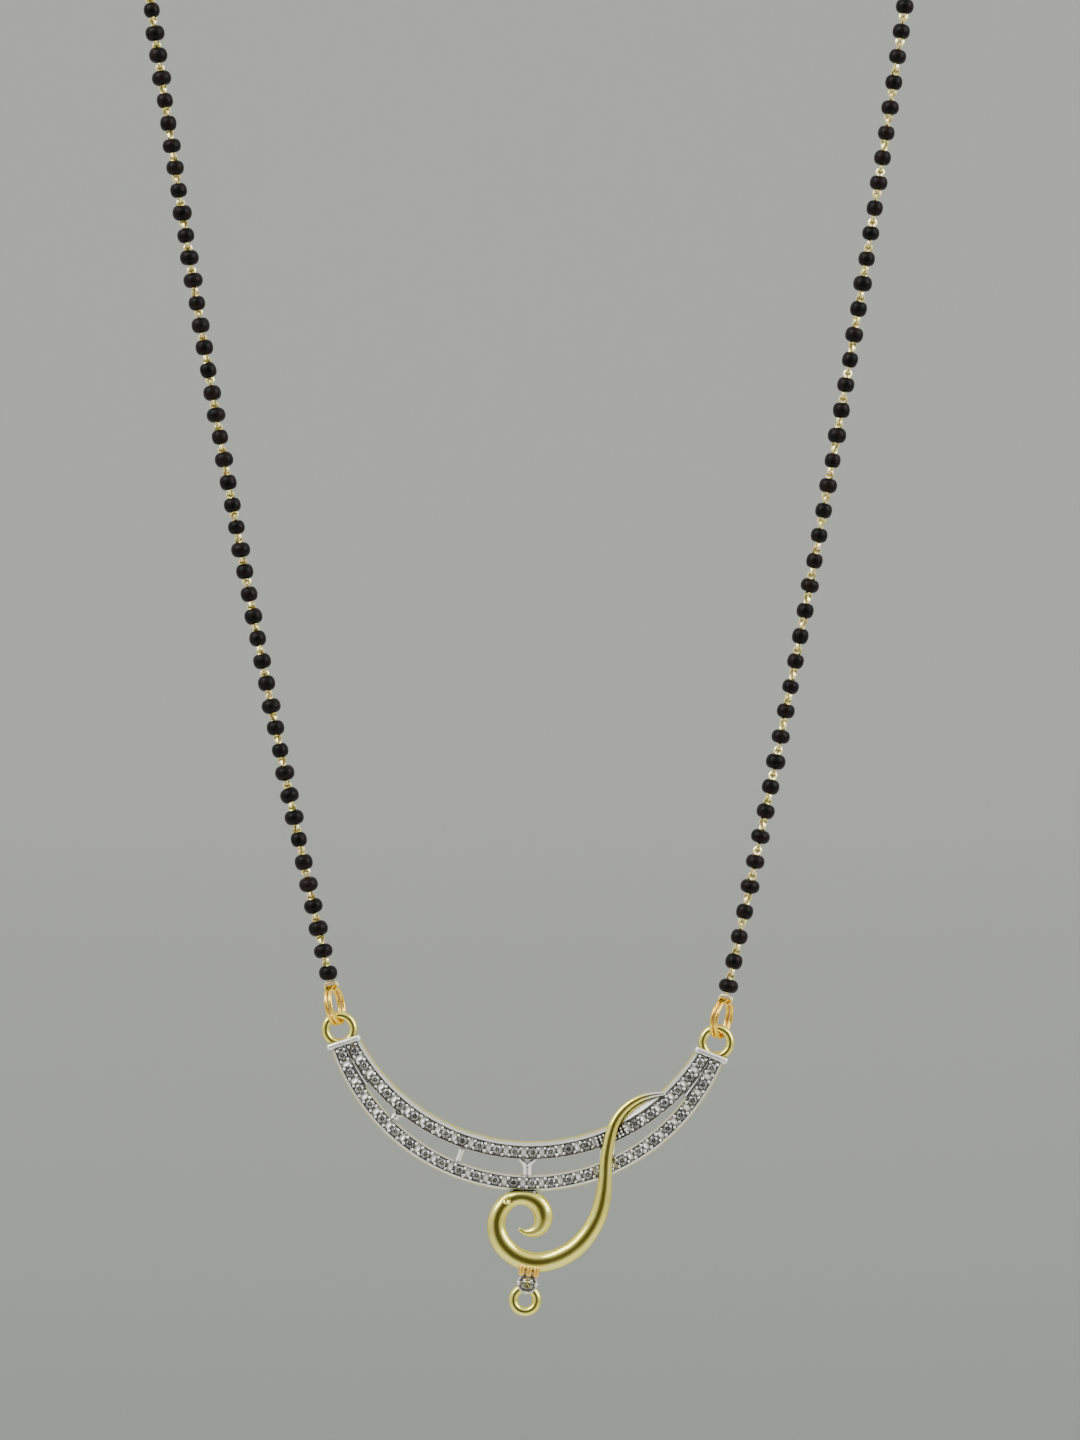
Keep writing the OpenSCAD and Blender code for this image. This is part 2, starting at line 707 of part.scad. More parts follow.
// A cut stone with its table upwards and its girdle's top at height zero
module stone(d) {
    rotate_extrude($fn = 8) polygon([
        [0, -(girdle_share + pavilion_share) * d],
        [d / 2, -girdle_share * d],
        [d / 2, 0],
        [table_share * d / 2, crown_share * d],
        [0, crown_share * d]
    ]);
}

module stone_row(angles, up, r) {
    color(CLEAR) hang() face_front() along_row(angles, up, r)
        translate([0, 0, bar_front - girdle_sink * stone_d]) stone(stone_d);
}

module drop_stone() {
    color(CLEAR) hang() face_front() at_drop() translate([0, cup_up, cup_t / 2])
        stone(drop_stone_d);
}

clasp();
end_ring(LEFT);  // left_end_ring
end_ring(RIGHT);  // right_end_ring
beads(LEFT);  // left_beads
beads(RIGHT);  // right_beads
links(LEFT);  // left_links
links(RIGHT);  // right_links
jump_ring(LEFT, OUTER);  // left_jump_ring_outer
jump_ring(LEFT, INNER);  // left_jump_ring_inner
jump_ring(RIGHT, OUTER);  // right_jump_ring_outer
jump_ring(RIGHT, INNER);  // right_jump_ring_inner
pendant();
stone_row(upper_angles, upper_z, upper_row_r);  // upper_stones
stone_row(lower_angles, lower_z, lower_row_r);  // lower_stones
drop_stone();
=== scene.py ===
"""Looks of the mangalsutra: black beads on linked wire, and a pendant of stone-set bars.

Sizes are millimetres and degrees, and points become metres where a piece is made. Left and
right are as seen from the front, which faces -Y.
"""

import math
import random

import bmesh
import bpy
import numpy as np
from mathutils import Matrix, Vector


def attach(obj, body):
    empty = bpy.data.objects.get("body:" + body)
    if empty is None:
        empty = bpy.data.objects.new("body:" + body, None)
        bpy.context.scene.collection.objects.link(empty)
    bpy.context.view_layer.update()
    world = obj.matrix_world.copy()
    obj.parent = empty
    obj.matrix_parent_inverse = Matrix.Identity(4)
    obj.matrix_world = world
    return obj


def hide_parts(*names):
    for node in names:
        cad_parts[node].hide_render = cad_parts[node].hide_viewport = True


MM = 0.001

LEFT = -1
RIGHT = 1
SIDE_NAME = {LEFT: "left", RIGHT: "right"}

# The photograph's frame, and where it puts the necklace
FRAME_PX = (1080, 1440)
PX_PER_MM = 8.4
ORIGIN_PX_X = 528
TOP_EDGE_UP = -51.7
CAMERA_AWAY = 600
SENSOR = 36

# The strands
NECK_R = 45.4
LEAN_TOP = 8
PENDANT_DROP = 175
HANG_TILT = 2
BEAD_D = 2.05
BEAD_LEN = 1.8
BEAD_BORE = 0.8
PITCH = {LEFT: 2.71, RIGHT: 3.04}
LOOP_INNER = 1.3
LOOP_HEIGHT = 0.7
LOOP_WIRE = 0.3
LINK_WIRE = 0.38
LINK_HALF_WIDTH = 0.38

# The rings between the strands and the pendant
JUMP_D = 4.9
JUMP_WIRE = 0.46
JUMP_GAP = 0.08
JUMP_LEAN = {LEFT: 13, RIGHT: 10}
TURN = {LEFT: 17, RIGHT: -25}
PLAY = 0.06
SWING_PLAY = 0.15

# The clasp's hook and the ring at the end of each strand
HOOK_EYE = 4.4
HOOK_WIRE = 1.1
END_RING_D = 3.8
END_RING_WIRE = 0.5

# The pendant's bars
PENDANT_W = 44.9
UPPER_H = 13
LOWER_H = 15.3
UPPER_W = 2.25
LOWER_W = 2.1
BAR_T = 1.7
BAR_LAP = 0.25
BROAD_FLANK = 0.5
NARROW_FLANK = 0.16
BAR_SET_BACK = 0.1
EYELET_D = 4.3
EYELET_WIRE = 1
END_SLOPE = 20
END_LEN = 4.1
END_W = 0.75
END_PROUD = 0.12

# Their stones, grains and struts
STONE_D = 1.05
STONE_PITCH = 2.12
STONE_GAP = 0.04
GRAIN_D = 0.4
GRAIN_H = 0.16
FORK_W = 1.1
STRUT_W = 0.7
STRUT_T = 1
FORK_ANGLES = (-37, 1)
PLAIN_STRUT_ANGLE = -17
UPRIGHT_W = 1.8
UPRIGHT_ANGLE = 22.5
GAP_END_ANGLE = 48.5
PLATE_SINK = 0.1
PLATE_BITE = 0.06
PLATE_LEAST = 0.1
SOLDER_W = 1.7
SOLDER_X = 0.7
SOLDER_REACH = 0.4
SOLDER_T = 0.9
STRUT_BITE = 0.15
FORK_LEAN = 38
STEM_SHARE = 1.2
ARM_SHARE = 1.15

# The scroll: arcs from its thin tip to the end of its coil. Columns: radius as a share of
# its height, turn, then at the arc's end the width and the stand-out as shares.
SCROLL_H = 20.9
ROD_W = 2.4
ROD_FLAT = 0.78
SCROLL_OUT = 1.1
TIP_ANGLE = 44.6
TIP_FLANK_SHARE = 0.9
WEB_FLANK_SHARE = 0.8
SCROLL_HEADING = 184.6
TIP_SHARE = 0.15
SCROLL = (
    (0.484, 11, 0.31, 0.75),
    (0.286, 42, 0.48, 0.95),
    (0.257, 18, 0.53, 1.00),
    (0.933, 15, 0.65, 0.95),
    (1.010, -10, 0.80, 0.72),
    (0.469, -32, 0.92, 0.40),
    (0.378, -36, 0.98, -0.05),
    (0.242, -71, 0.97, -0.10),
    (0.177, -69, 0.82, -0.10),
    (0.133, -45, 0.74, -0.10),
    (0.133, -46, 0.90, -0.10),
    (0.107, -37, 1.00, -0.10),
    (0.107, -37, 0.84, -0.10),
    (0.078, -54, 0.52, -0.10),
    (0.078, -54, 0.10, -0.10),
)
UNDER_COIL = 7
UNDERSIDE_SPREAD = 50
ROD_CLEAR = 0.15
ROW_END_CLEAR = 0.3

# The drop
DROP_X = 1.1
DROP_LEAN = 6
DROP_STONE_D = 1.5
CUP_D = 2.4
CUP_T = 1.3
CUP_GAP = 0.25
CLAW_D = 0.5
STUD_D = 0.74
STUD_PITCH = 0.85
STUD_H = 1.4
STUD_OVER = 0.9
STUD_OUT = 0.6
DROP_RING_D = 3.9
DROP_RING_WIRE = 1.1
RING_LAP_SHARE = 1.06


def sin(degrees):
    return math.sin(math.radians(degrees))


def cos(degrees):
    return math.cos(math.radians(degrees))


# Sizes worked out from those above
EYELET_R = (EYELET_D - EYELET_WIRE) / 2
JUMP_R = (JUMP_D - JUMP_WIRE) / 2
LOOP_R = (LOOP_HEIGHT + LOOP_WIRE) / 2
LOOP_STRAIGHT = (LOOP_INNER - LOOP_HEIGHT) / 2
END_RING_R = (END_RING_D - END_RING_WIRE) / 2
DROP_RING_R = (DROP_RING_D - DROP_RING_WIRE) / 2
HOOK_R = HOOK_EYE / 2

JUMP_PAIR = (JUMP_WIRE + JUMP_GAP) / 2
JUMP_ASIDE = JUMP_PAIR / cos(max(abs(turn) for turn in TURN.values()))
JUMP_REACH = EYELET_R - (EYELET_WIRE + JUMP_WIRE) / 2 - SWING_PLAY
JUMP_MID = math.sqrt(JUMP_REACH ** 2 - JUMP_ASIDE ** 2) + JUMP_R
LOOP_MID = JUMP_MID + JUMP_R + LOOP_HEIGHT / 2 - JUMP_WIRE / 2 - PLAY

END_X = PENDANT_W / 2 - EYELET_R * sin(END_SLOPE)
END_Z = -EYELET_R * cos(END_SLOPE)
BAR_BACK = -BAR_SET_BACK - BAR_T / 2
BAR_FRONT = BAR_BACK + BAR_T
BAR_MID = (BAR_BACK + BAR_FRONT) / 2


class Bar:
    """One curved bar: its radii, the height of its curve's middle, and its row of stones."""

    def __init__(self, name, depth, inner, outer, flank_in, flank_out):
        r = (END_X ** 2 + depth ** 2) / (2 * depth)
        self.name = name
        self.up = END_Z - depth + r
        self.span = math.degrees(math.atan2(END_X, self.up - END_Z))
        self.r_in = r + inner
        self.r_out = r + outer
        self.face_in = self.r_in + flank_in
        self.face_out = self.r_out - flank_out
        self.row_r = (self.face_in + self.face_out) / 2

    def point(self, angle, r):
        """The place in the flat drawing at an angle round the bar from its lowest point."""
        return r * sin(angle), self.up - r * cos(angle)


UPPER = Bar("upper", UPPER_H, BAR_LAP - UPPER_W, BAR_LAP, BROAD_FLANK, NARROW_FLANK)
LOWER = Bar("lower", LOWER_H, -BAR_LAP, LOWER_W - BAR_LAP, NARROW_FLANK, BROAD_FLANK)


# Meshes

# How finely whole rings are drawn: round the ring, and round its wire
RING_STEPS = 96
RING_SIDES = 28


class Shape:
    """Points in millimetres, and the faces between them, gathered for one piece."""

    def __init__(self, points=(), faces=()):
        self.points = []
        self.faces = []
        self.count = 0
        self.add(points, faces)

    def add(self, points, faces):
        self.points.append(np.asarray(points, float).reshape(-1, 3))
        self.faces.extend([self.count + i for i in face] for face in faces)
        self.count += len(self.points[-1])

    def joined(self):
        return np.concatenate(self.points)


def skin(rows, closed=False):
    """Points and faces of a tube whose sections are the rows. Closed joins its two ends."""
    n, m = rows.shape[:2]
    faces = []
    for i in range(n if closed else n - 1):
        here, there = i * m, (i + 1) % n * m
        for j in range(m):
            k = (j + 1) % m
            faces.append((here + j, here + k, there + k, there + j))
    if not closed:
        faces.append(tuple(range(m)))
        faces.append(tuple((n - 1) * m + j for j in range(m)))
    return rows.reshape(-1, 3), faces


def grid_faces(n, m):
    """Faces of an open sheet of n rows of m points each."""
    return [(i * m + j, i * m + j + 1, (i + 1) * m + j + 1, (i + 1) * m + j)
            for i in range(n - 1) for j in range(m - 1)]


def rod(path, flat_normal, half_width, half_depth, sides, closed=False):
    """A rod along a path that lies in a plane, as wide in the plane as half_width says."""
    path = np.asarray(path, float)
    if closed:
        along = np.roll(path, -1, axis=0) - np.roll(path, 1, axis=0)
    else:
        along = np.gradient(path, axis=0)
    along /= np.linalg.norm(along, axis=1, keepdims=True)
    deep = np.broadcast_to(np.asarray(flat_normal, float), path.shape)
    wide = np.cross(deep, along)
    angles = 2 * math.pi * (np.arange(sides) + 0.5) / sides
    half_width = np.broadcast_to(np.asarray(half_width, float), len(path))
    half_depth = np.broadcast_to(np.asarray(half_depth, float), len(path))
    rows = (path[:, None]
            + (half_width[:, None] * np.cos(angles))[..., None] * wide[:, None]
            + (half_depth[:, None] * np.sin(angles))[..., None] * deep[:, None])
    return skin(rows, closed)


def turned_profile(profile, sides, closed=False):
    """A profile of radius and height turned round the Z axis."""
    angles = 2 * math.pi * np.arange(sides) / sides
    rows = np.array([[(r * math.cos(a), r * math.sin(a), z) for a in angles]
                     for r, z in profile])
    return skin(rows, closed)


def circle_path(r, steps, start=0, sweep=360):
    """Points round a circle in the XY plane. A full sweep leaves out the last, double one."""
    last = steps if sweep == 360 else steps - 1
    angles = [start + sweep * i / last for i in range(steps)]
    return np.array([(r * cos(a), r * sin(a), 0) for a in angles])


def torus(r, wire):
    """A round ring in the XY plane, by the radius of its wire's middle and its wire."""
    path = circle_path(r, RING_STEPS)
    return rod(path, (0, 0, 1), wire / 2, wire / 2, RING_SIDES, closed=True)


def soft_box(size, corner, steps=3):
    """A box round the origin with its edges rounded."""
    work = bmesh.new()
    bmesh.ops.create_cube(work, size=1)
    bmesh.ops.scale(work, vec=size, verts=work.verts)
    bmesh.ops.bevel(work, geom=work.edges[:], offset=corner, segments=steps, profile=0.5,
                    affect="EDGES")
    points = [tuple(v.co) for v in work.verts]
    faces = [tuple(v.index for v in f.verts) for f in work.faces]
    work.free()
    return points, faces


# Moving points about

def turn_z(points, degrees):
    x, y, z = np.asarray(points, float).T
    return np.stack([x * cos(degrees) - y * sin(degrees),
                     x * sin(degrees) + y * cos(degrees), z], axis=1)


def turn_y(points, degrees):
    """Turns points round the Y axis, from Z towards X."""
    x, y, z = np.asarray(points, float).T
    return np.stack([x * cos(degrees) + z * sin(degrees), y,
                     z * cos(degrees) - x * sin(degrees)], axis=1)


def shift(points, x=0, y=0, z=0):
    return np.asarray(points, float) + (x, y, z)


def on_side(points, side):
    """The same points for the right, or their mirror image for the left."""
    return np.asarray(points, float) * (side, 1, 1)


def face_front(points):
    """Stands up what is drawn lying flat: right, up and towards the front."""
    x, up, front = np.asarray(points, float).T
    return np.stack([x, -front, up], axis=1)


def hang(points):
    """Hangs the pendant's own frame from the strands, a little lower on the right."""
    return shift(turn_y(points, HANG_TILT), z=-PENDANT_DROP)


def over_eyelet(points, side, up):
    """Puts points a way up the line from an eyelet to the foot of its strand."""
    points = shift(turn_z(points, TURN[side]), z=up)
    points = shift(turn_y(points, JUMP_LEAN[side]), x=PENDANT_W / 2)
    return hang(on_side(points, side))


def tipped(points, turn, tip, way):
    """Turns points round their own Z, tips them, and turns them to face a way."""
    return turn_z(turn_y(turn_z(points, turn), tip), way)


def hung(points):
    """Stands up and hangs what is drawn flat in the pendant's own frame."""
    return hang(face_front(points))


# The middle line of a strand, measured from the top of the loop

ARCH_LEN = math.radians(90 + LEAN_TOP) * NECK_R
ARCH_END = np.array([NECK_R * cos(LEAN_TOP), -NECK_R * (1 + sin(LEAN_TOP))])


class Strand:
    """The route of one strand: an arch round the neck, then a slow curve to the pendant."""

    def __init__(self, side):
        self.side = side
        loop_x = PENDANT_W / 2 + LOOP_MID * sin(JUMP_LEAN[side])
        loop_z = LOOP_MID * cos(JUMP_LEAN[side])
        foot = np.array([
            loop_x * cos(HANG_TILT) + side * loop_z * sin(HANG_TILT),
            loop_z * cos(HANG_TILT) - side * loop_x * sin(HANG_TILT) - PENDANT_DROP])
        x, z = ARCH_END - foot
        self.chord = math.hypot(x, z)
        self.bend = math.degrees(math.atan2(x, z)) - LEAN_TOP
        self.curve_len = self.chord * math.radians(self.bend) / sin(self.bend)
        self.length = ARCH_LEN + self.curve_len
        ring_at = 2 * HOOK_R - (HOOK_WIRE + END_RING_WIRE) / 2 - PLAY + END_RING_R
        self.top_loop_at = (ring_at + END_RING_R - (END_RING_WIRE + LOOP_WIRE) / 2 - PLAY
                            + LOOP_R)
        reach = LOOP_R + LOOP_WIRE / 2 + PLAY + BEAD_LEN / 2
        first = self.top_loop_at + reach
        last = self.length - reach
        count = int((last - first) / PITCH[side]) + 1
        self.beads = [last - i * PITCH[side] for i in range(count)]

    def place(self, points, at):
        """Puts points on the strand, with their own Z along it towards the top."""
        if at < ARCH_LEN:
            angle = math.degrees(at / NECK_R)
            lean = angle - 90
            x, z = NECK_R * sin(angle), NECK_R * (cos(angle) - 1)
        else:
            share = (at - ARCH_LEN) / self.curve_len
            lean = LEAN_TOP + 2 * self.bend * share
            reach = self.chord * sin(share * self.bend) / sin(self.bend)
            x = ARCH_END[0] - reach * sin(LEAN_TOP + share * self.bend)
            z = ARCH_END[1] - reach * cos(LEAN_TOP + share * self.bend)
        return on_side(shift(turn_y(points, lean), x=x, z=z), self.side)


# Pieces become objects here

# An edge stays sharp from this angle on, and points closer than this are one
SHARP = math.radians(38)
FACETED = math.radians(2)
MERGE = 1e-4


def add_object(name, data):
    """An object for a camera, a lamp or a mesh, in the scene."""
    made = bpy.data.objects.new(name, data)
    bpy.context.scene.collection.objects.link(made)
    return made


def add_piece(name, shape, material, body, nodes, sharp=SHARP):
    """Makes a mesh piece of a shape, lets it ride on a body and stand for CAD nodes."""
    mesh = bpy.data.meshes.new(name)
    mesh.from_pydata((shape.joined() * MM).tolist(), [], shape.faces)
    work = bmesh.new()
    work.from_mesh(mesh)
    bmesh.ops.remove_doubles(work, verts=work.verts, dist=MERGE * MM)
    bmesh.ops.recalc_face_normals(work, faces=work.faces)
    for face in work.faces:
        face.smooth = True
    for edge in work.edges:
        edge.smooth = not edge.is_manifold or edge.calc_face_angle() < sharp
    work.to_mesh(mesh)
    work.free()
    mesh.materials.append(material)
    piece = add_object(name, mesh)
    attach(piece, body)
    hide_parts(*nodes)


# Materials

def new_material(name):
    """A material with its node tree and its shader."""
    material = bpy.data.materials.new(name)
    material.use_nodes = True
    tree = material.node_tree
    return material, tree, tree.nodes["Principled BSDF"]


def fill(tree, node, sockets):
    """Fills a node's sockets, each with a value or with another node's output."""
    for key, value in sockets.items():
        socket = node.inputs[key]
        if isinstance(value, bpy.types.NodeSocket):
            tree.links.new(value, socket)
        elif socket.type == "RGBA":
            socket.default_value = (*value, 1)
        else:
            socket.default_value = value
    return node


def add_node(tree, kind, sockets, **settings):
    """A new node of a kind, with its settings and its sockets."""
    node = tree.nodes.new(f"ShaderNode{kind}")
    for name, value in settings.items():
        setattr(node, name, value)
    return fill(tree, node, sockets)


def own_place(tree):
    """Where a point lies on its piece, in metres."""
    return add_node(tree, "TexCoord", {}).outputs["Object"]


def along_axis(tree, place, axis):
    """One of a place's three numbers."""
    return add_node(tree, "SeparateXYZ", {"Vector": place}).outputs[axis]


def noise_of(tree, size, detail=2.0):
    """The value of a noise whose lumps are about size millimetres across."""
    return add_node(tree, "TexNoise", {"Scale": 1 / (size * MM), "Detail": detail,
                                       "Vector": own_place(tree)}).outputs["Fac"]


def map_range(tree, value, low, high, to_low=0, to_high=1):
    """Carries a value from one range to another, and holds it within the second."""
    return add_node(tree, "MapRange", {"Value": value, "From Min": low, "From Max": high,
                                       "To Min": to_low, "To Max": to_high}).outputs["Result"]


def mix_colour(tree, factor, first, second):
    """Mixes two colours. Each is a colour or another node's output."""
    return add_node(tree, "Mix", {0: factor, 6: first, 7: second}, data_type="RGBA").outputs[2]


def add_bump(tree, shader, *heights):
    """Bumps the surface by (height, depth in millimetres) pairs, one over the other."""
    under = {}
    for height, depth in heights:
        bump = add_node(tree, "Bump", {"Strength": 1, "Distance": depth * MM,
                                       "Height": height, **under})
        under = {"Normal": bump.outputs["Normal"]}
    fill(tree, shader, under)


def shade_hollows(tree, colour, dark, reach, closed=0.35, clear=0.85):
    """Paints shade: darkens a colour towards dark where the surface is hemmed in within reach.
    """
    hollow = add_node(tree, "AmbientOcclusion", {"Distance": reach * MM}, samples=4)
    return mix_colour(tree, map_range(tree, hollow.outputs["AO"], closed, clear), dark, colour)


def patches(tree, size, low, high, first, second):
    """A colour that drifts between two over lumps of a size."""
    return mix_colour(tree, map_range(tree, noise_of(tree, size), low, high), first, second)


def roughness(tree, noise, least, most):
    """Roughness that follows a noise between two values."""
    return map_range(tree, noise, 0.3, 0.7, least, most)


def polished_metal(name, bright, tint, dark, rough, edge, lumps=0.9, plated=None):
    """Cast and polished metal, with faint waves, fine wipe marks, and hollows darkened by
    painted shade.

    Plated is a colour and the two places along X between which the metal turns to it.
    """
    material, tree, shader = new_material(name)
    colour = patches(tree, lumps * 2.2, 0.35, 0.65, bright, tint)
    if plated:
        silver, from_x, to_x = plated
        x = along_axis(tree, own_place(tree), "X")
        colour = mix_colour(tree, map_range(tree, x, from_x * MM, to_x * MM), colour, silver)
    fine = noise_of(tree, 0.11, detail=4)
    # Its hollows are painted with shade, towards the dark colour.
    fill(tree, shader, {
        "Base Color": shade_hollows(tree, colour, dark, 0.35),
        "Roughness": roughness(tree, fine, rough * 0.75, rough * 1.35),
        "Metallic": 1,
        "Specular Tint": edge})
    add_bump(tree, shader, (noise_of(tree, lumps), 0.006), (fine, 0.0012))
    return material


def plated_metal(name, white, yellow, dark, rough):
    """Yellow metal whose front is plated white, with painted shade in its hollows. The plating
    thins towards the back.
    """
    material, tree, shader = new_material(name)
    drift = map_range(tree, noise_of(tree, 1.3), 0.3, 0.7, -0.25 * MM, 0.25 * MM)
    y = along_axis(tree, own_place(tree), "Y")
    depth = add_node(tree, "Math", {0: y, 1: drift}, operation="ADD").outputs["Value"]
    worn = map_range(tree, depth, -0.1 * MM, 0.45 * MM)
    colour = mix_colour(tree, worn, white, yellow)
    fine = noise_of(tree, 0.09, detail=4)
    # Painted shade darkens the hollows round the seats and between the grains.
    fill(tree, shader, {
        "Base Color": shade_hollows(tree, colour, dark, 0.45, 0.55, 0.97),
        "Roughness": roughness(tree, fine, rough * 0.7, rough * 1.4),
        "Metallic": 1})
    add_bump(tree, shader, (noise_of(tree, 0.45), 0.012), (fine, 0.003))
    return material


def black_glass(name):
    """Pressed glass, nearly black, with a soft gloss and slight lumps."""
    material, tree, shader = new_material(name)
    fine = noise_of(tree, 0.25, detail=3)
    fill(tree, shader, {
        "Base Color": patches(tree, 1.4, 0.4, 0.65, (0.002, 0.002, 0.002),
                              (0.008, 0.004, 0.003)),
        "Roughness": roughness(tree, fine, 0.24, 0.42),
        "IOR": 1.5,
        "Specular IOR Level": 0.1})
    add_bump(tree, shader, (noise_of(tree, 0.6), 0.02), (fine, 0.004))
    return material


def clear_stone(name, pale, dark):
    """A clear, strongly bending stone. Its patches make one stone paler than the next."""
    material, tree, shader = new_material(name)
    fill(tree, shader, {
        "Base Color": patches(tree, 1.6, 0.4, 0.6, pale, dark),
        "Roughness": 0.02,
        "IOR": 2.16,
        "Transmission Weight": 1})
    return material


# The dark colours of the metals are painted shade, which they take on in their hollows.
SILVER = (0.93, 0.93, 0.9)
PLATED_HOLLOW_SHADE = (0.07, 0.07, 0.07)
GOLD_LIGHT = (0.9, 0.86, 0.24)
GOLD_TINT = (0.86, 0.78, 0.17)
GOLD_HOLLOW_SHADE = (0.34, 0.27, 0.06)
GOLD_EDGE = (0.8, 0.74, 0.22)
WARM_EDGE = (1.0, 0.72, 0.2)
PALE_LOOKS = (GOLD_LIGHT, GOLD_TINT, GOLD_HOLLOW_SHADE, 0.16, GOLD_EDGE)
PALE_GOLD = polished_metal("pale_gold", *PALE_LOOKS)
SCROLL_GOLD = polished_metal("scroll_gold", *PALE_LOOKS, plated=(SILVER, 13.3, 15))
LINK_GOLD = polished_metal("link_gold", (0.95, 0.92, 0.4), (0.95, 0.76, 0.42),
                           (0.62, 0.56, 0.18), 0.3, (0.95, 0.9, 0.42), lumps=0.5)
WARM_GOLD = polished_metal("warm_gold", (1.0, 0.78, 0.13), (0.97, 0.62, 0.08),
                           (0.62, 0.27, 0.02), 0.17, WARM_EDGE)
STUD_GOLD = polished_metal("stud_gold", (1.0, 0.72, 0.12), (0.98, 0.55, 0.1),
                           (0.62, 0.27, 0.03), 0.36, WARM_EDGE, lumps=0.5)
PLATED = plated_metal("plated_bars", SILVER, GOLD_TINT, PLATED_HOLLOW_SHADE, 0.22)
SATIN_PLATED = plated_metal("satin_plated", SILVER, GOLD_TINT, PLATED_HOLLOW_SHADE, 0.42)
BEAD_GLASS = black_glass("bead_glass")
STONE = clear_stone("cut_stone", (0.86, 0.88, 0.92), (0.3, 0.31, 0.33))
DROP_STONE = clear_stone("cut_stone_of_drop", (0.92, 0.92, 0.97), (0.72, 0.72, 0.8))


# The beads

BEAD_SIDES = 24
BEAD_STEPS = 7
# How full its outline is: 1 is an ellipse, less is squarer
BEAD_FULL = 0.88
# Least and most of what chance makes of a bead's width, length and roundness, as shares
BEAD_WIDTHS = (0.96, 1.18)
BEAD_LENGTHS = (0.88, 1.02)
BEAD_ROUNDNESS = (0.95, 1.0)
BEAD_LEAN = 7
BEAD_SLIP = 0.05


def bead_profile(d, length):
    """A bead's outline: a full, tyre-like round from one end of its hole to the other."""
    bore = BEAD_BORE / 2
    made = []
    for i in range(-BEAD_STEPS, BEAD_STEPS + 1):
        angle = 90 * i / BEAD_STEPS
        r = bore + (d / 2 - bore) * abs(cos(angle)) ** BEAD_FULL
        made.append((r, sin(angle) * length / 2))
    return made


def string_of_beads(strand, chance):
    """Small pressed beads, no two quite alike, and some a little askew on the wire."""
    shape = Shape()
    for at in strand.beads:
        d = BEAD_D * chance.uniform(*BEAD_WIDTHS)
        length = BEAD_LEN * chance.uniform(*BEAD_LENGTHS)
        points, faces = turned_profile(bead_profile(d, length), BEAD_SIDES, closed=True)
        points = points * (1, chance.uniform(*BEAD_ROUNDNESS), 1)
        points = tipped(points, chance.uniform(0, 360), chance.gauss(0, BEAD_LEAN),
                        chance.uniform(0, 360))
        shape.add(strand.place(points, at + chance.uniform(-BEAD_SLIP, BEAD_SLIP)), faces)
    return shape


# The wire links

LINK_SIDES = 6
LINK_STEPS = 18
END_LOOP_STEPS = 48
END_LOOP_SIDES = 12
# How far a loop goes into its bead's hole
LINK_TUCK = 0.12
# How far two loops lap where they hang in each other
LINK_LAP = 0.55 * LINK_WIRE


def link_rod(path, closed=False):
    """The links' fine wire along a path in the XZ plane."""
    return rod(path, (0, 1, 0), LINK_WIRE / 2, LINK_WIRE / 2, LINK_SIDES, closed)


def straight_link(low, high):
    """A straight piece of that wire along Z."""
    return link_rod([(0, 0, low), (0, 0, (low + high) / 2), (0, 0, high)])


def wire_loop(half_len, plane):
    """A long loop of wire round the origin, in the plane that holds Z and this angle."""
    points, faces = link_rod([(LINK_HALF_WIDTH * sin(360 * i / LINK_STEPS), 0,
                               half_len * cos(360 * i / LINK_STEPS))
                              for i in range(LINK_STEPS)], closed=True)
    return turn_z(points, plane), faces


def link_pair(shape, strand, low_at, high_at, chance):
    """Two loops that hang in each other in the gap between two beads."""
    middle = (low_at + high_at) / 2
    gap = low_at - high_at - BEAD_LEN
    half_len = (gap / 2 + LINK_TUCK + LINK_LAP) / 2
    offset = half_len - LINK_LAP
    plane = chance.uniform(0, 180)
    for side, angle in ((-1, plane), (1, plane + 90)):
        points, faces = wire_loop(half_len, angle)
        shape.add(strand.place(shift(points, z=side * offset), middle), faces)


def wire_links(strand, chance):
    """Each bead's wire with a loop at both ends, each loop in its neighbour's."""
    shape = Shape()
    points, faces = straight_link(-BEAD_LEN / 2, BEAD_LEN / 2)
    for at in strand.beads:
        shape.add(strand.place(points, at), faces)
    for low_at, high_at in zip(strand.beads, strand.beads[1:]):
        link_pair(shape, strand, low_at, high_at, chance)
    add_end_loops(shape, strand)
    return shape


def add_end_loops(shape, strand):
    """The round loop at each end of a strand, and the wire that leads to the top one."""
    path = circle_path(LOOP_R, END_LOOP_STEPS)
    path[:, 0] += np.where(path[:, 0] > 0, LOOP_STRAIGHT, -LOOP_STRAIGHT)
    points, faces = rod(path, (0, 0, 1), LOOP_WIRE / 2, LOOP_WIRE / 2, END_LOOP_SIDES,
                        closed=True)
    shape.add(strand.place(face_front(points), strand.top_loop_at), faces)
    lead, lead_faces = straight_link(0, strand.beads[-1] - strand.top_loop_at - LOOP_R)
    shape.add(strand.place(lead, strand.beads[-1]), lead_faces)
    shape.add(over_eyelet(face_front(points), strand.side, LOOP_MID), faces)


# The jump rings

SLIT = 0.05
JUMP_SIDES = 20


def jump_ring(side, place, slit_at):
    """One ring of a pair: a turn of wire that closes with a fine slit at an angle round it."""
    open_angle = math.degrees(SLIT / JUMP_R)
    path = circle_path(JUMP_R, RING_STEPS, slit_at + open_angle / 2, 360 - open_angle)
    points, faces = rod(path, (0, 0, 1), JUMP_WIRE / 2, JUMP_WIRE / 2, JUMP_SIDES)
    points = shift(turn_y(points, 90), x=place * JUMP_PAIR)
    return Shape(over_eyelet(points, side, JUMP_MID), faces)


# The scroll

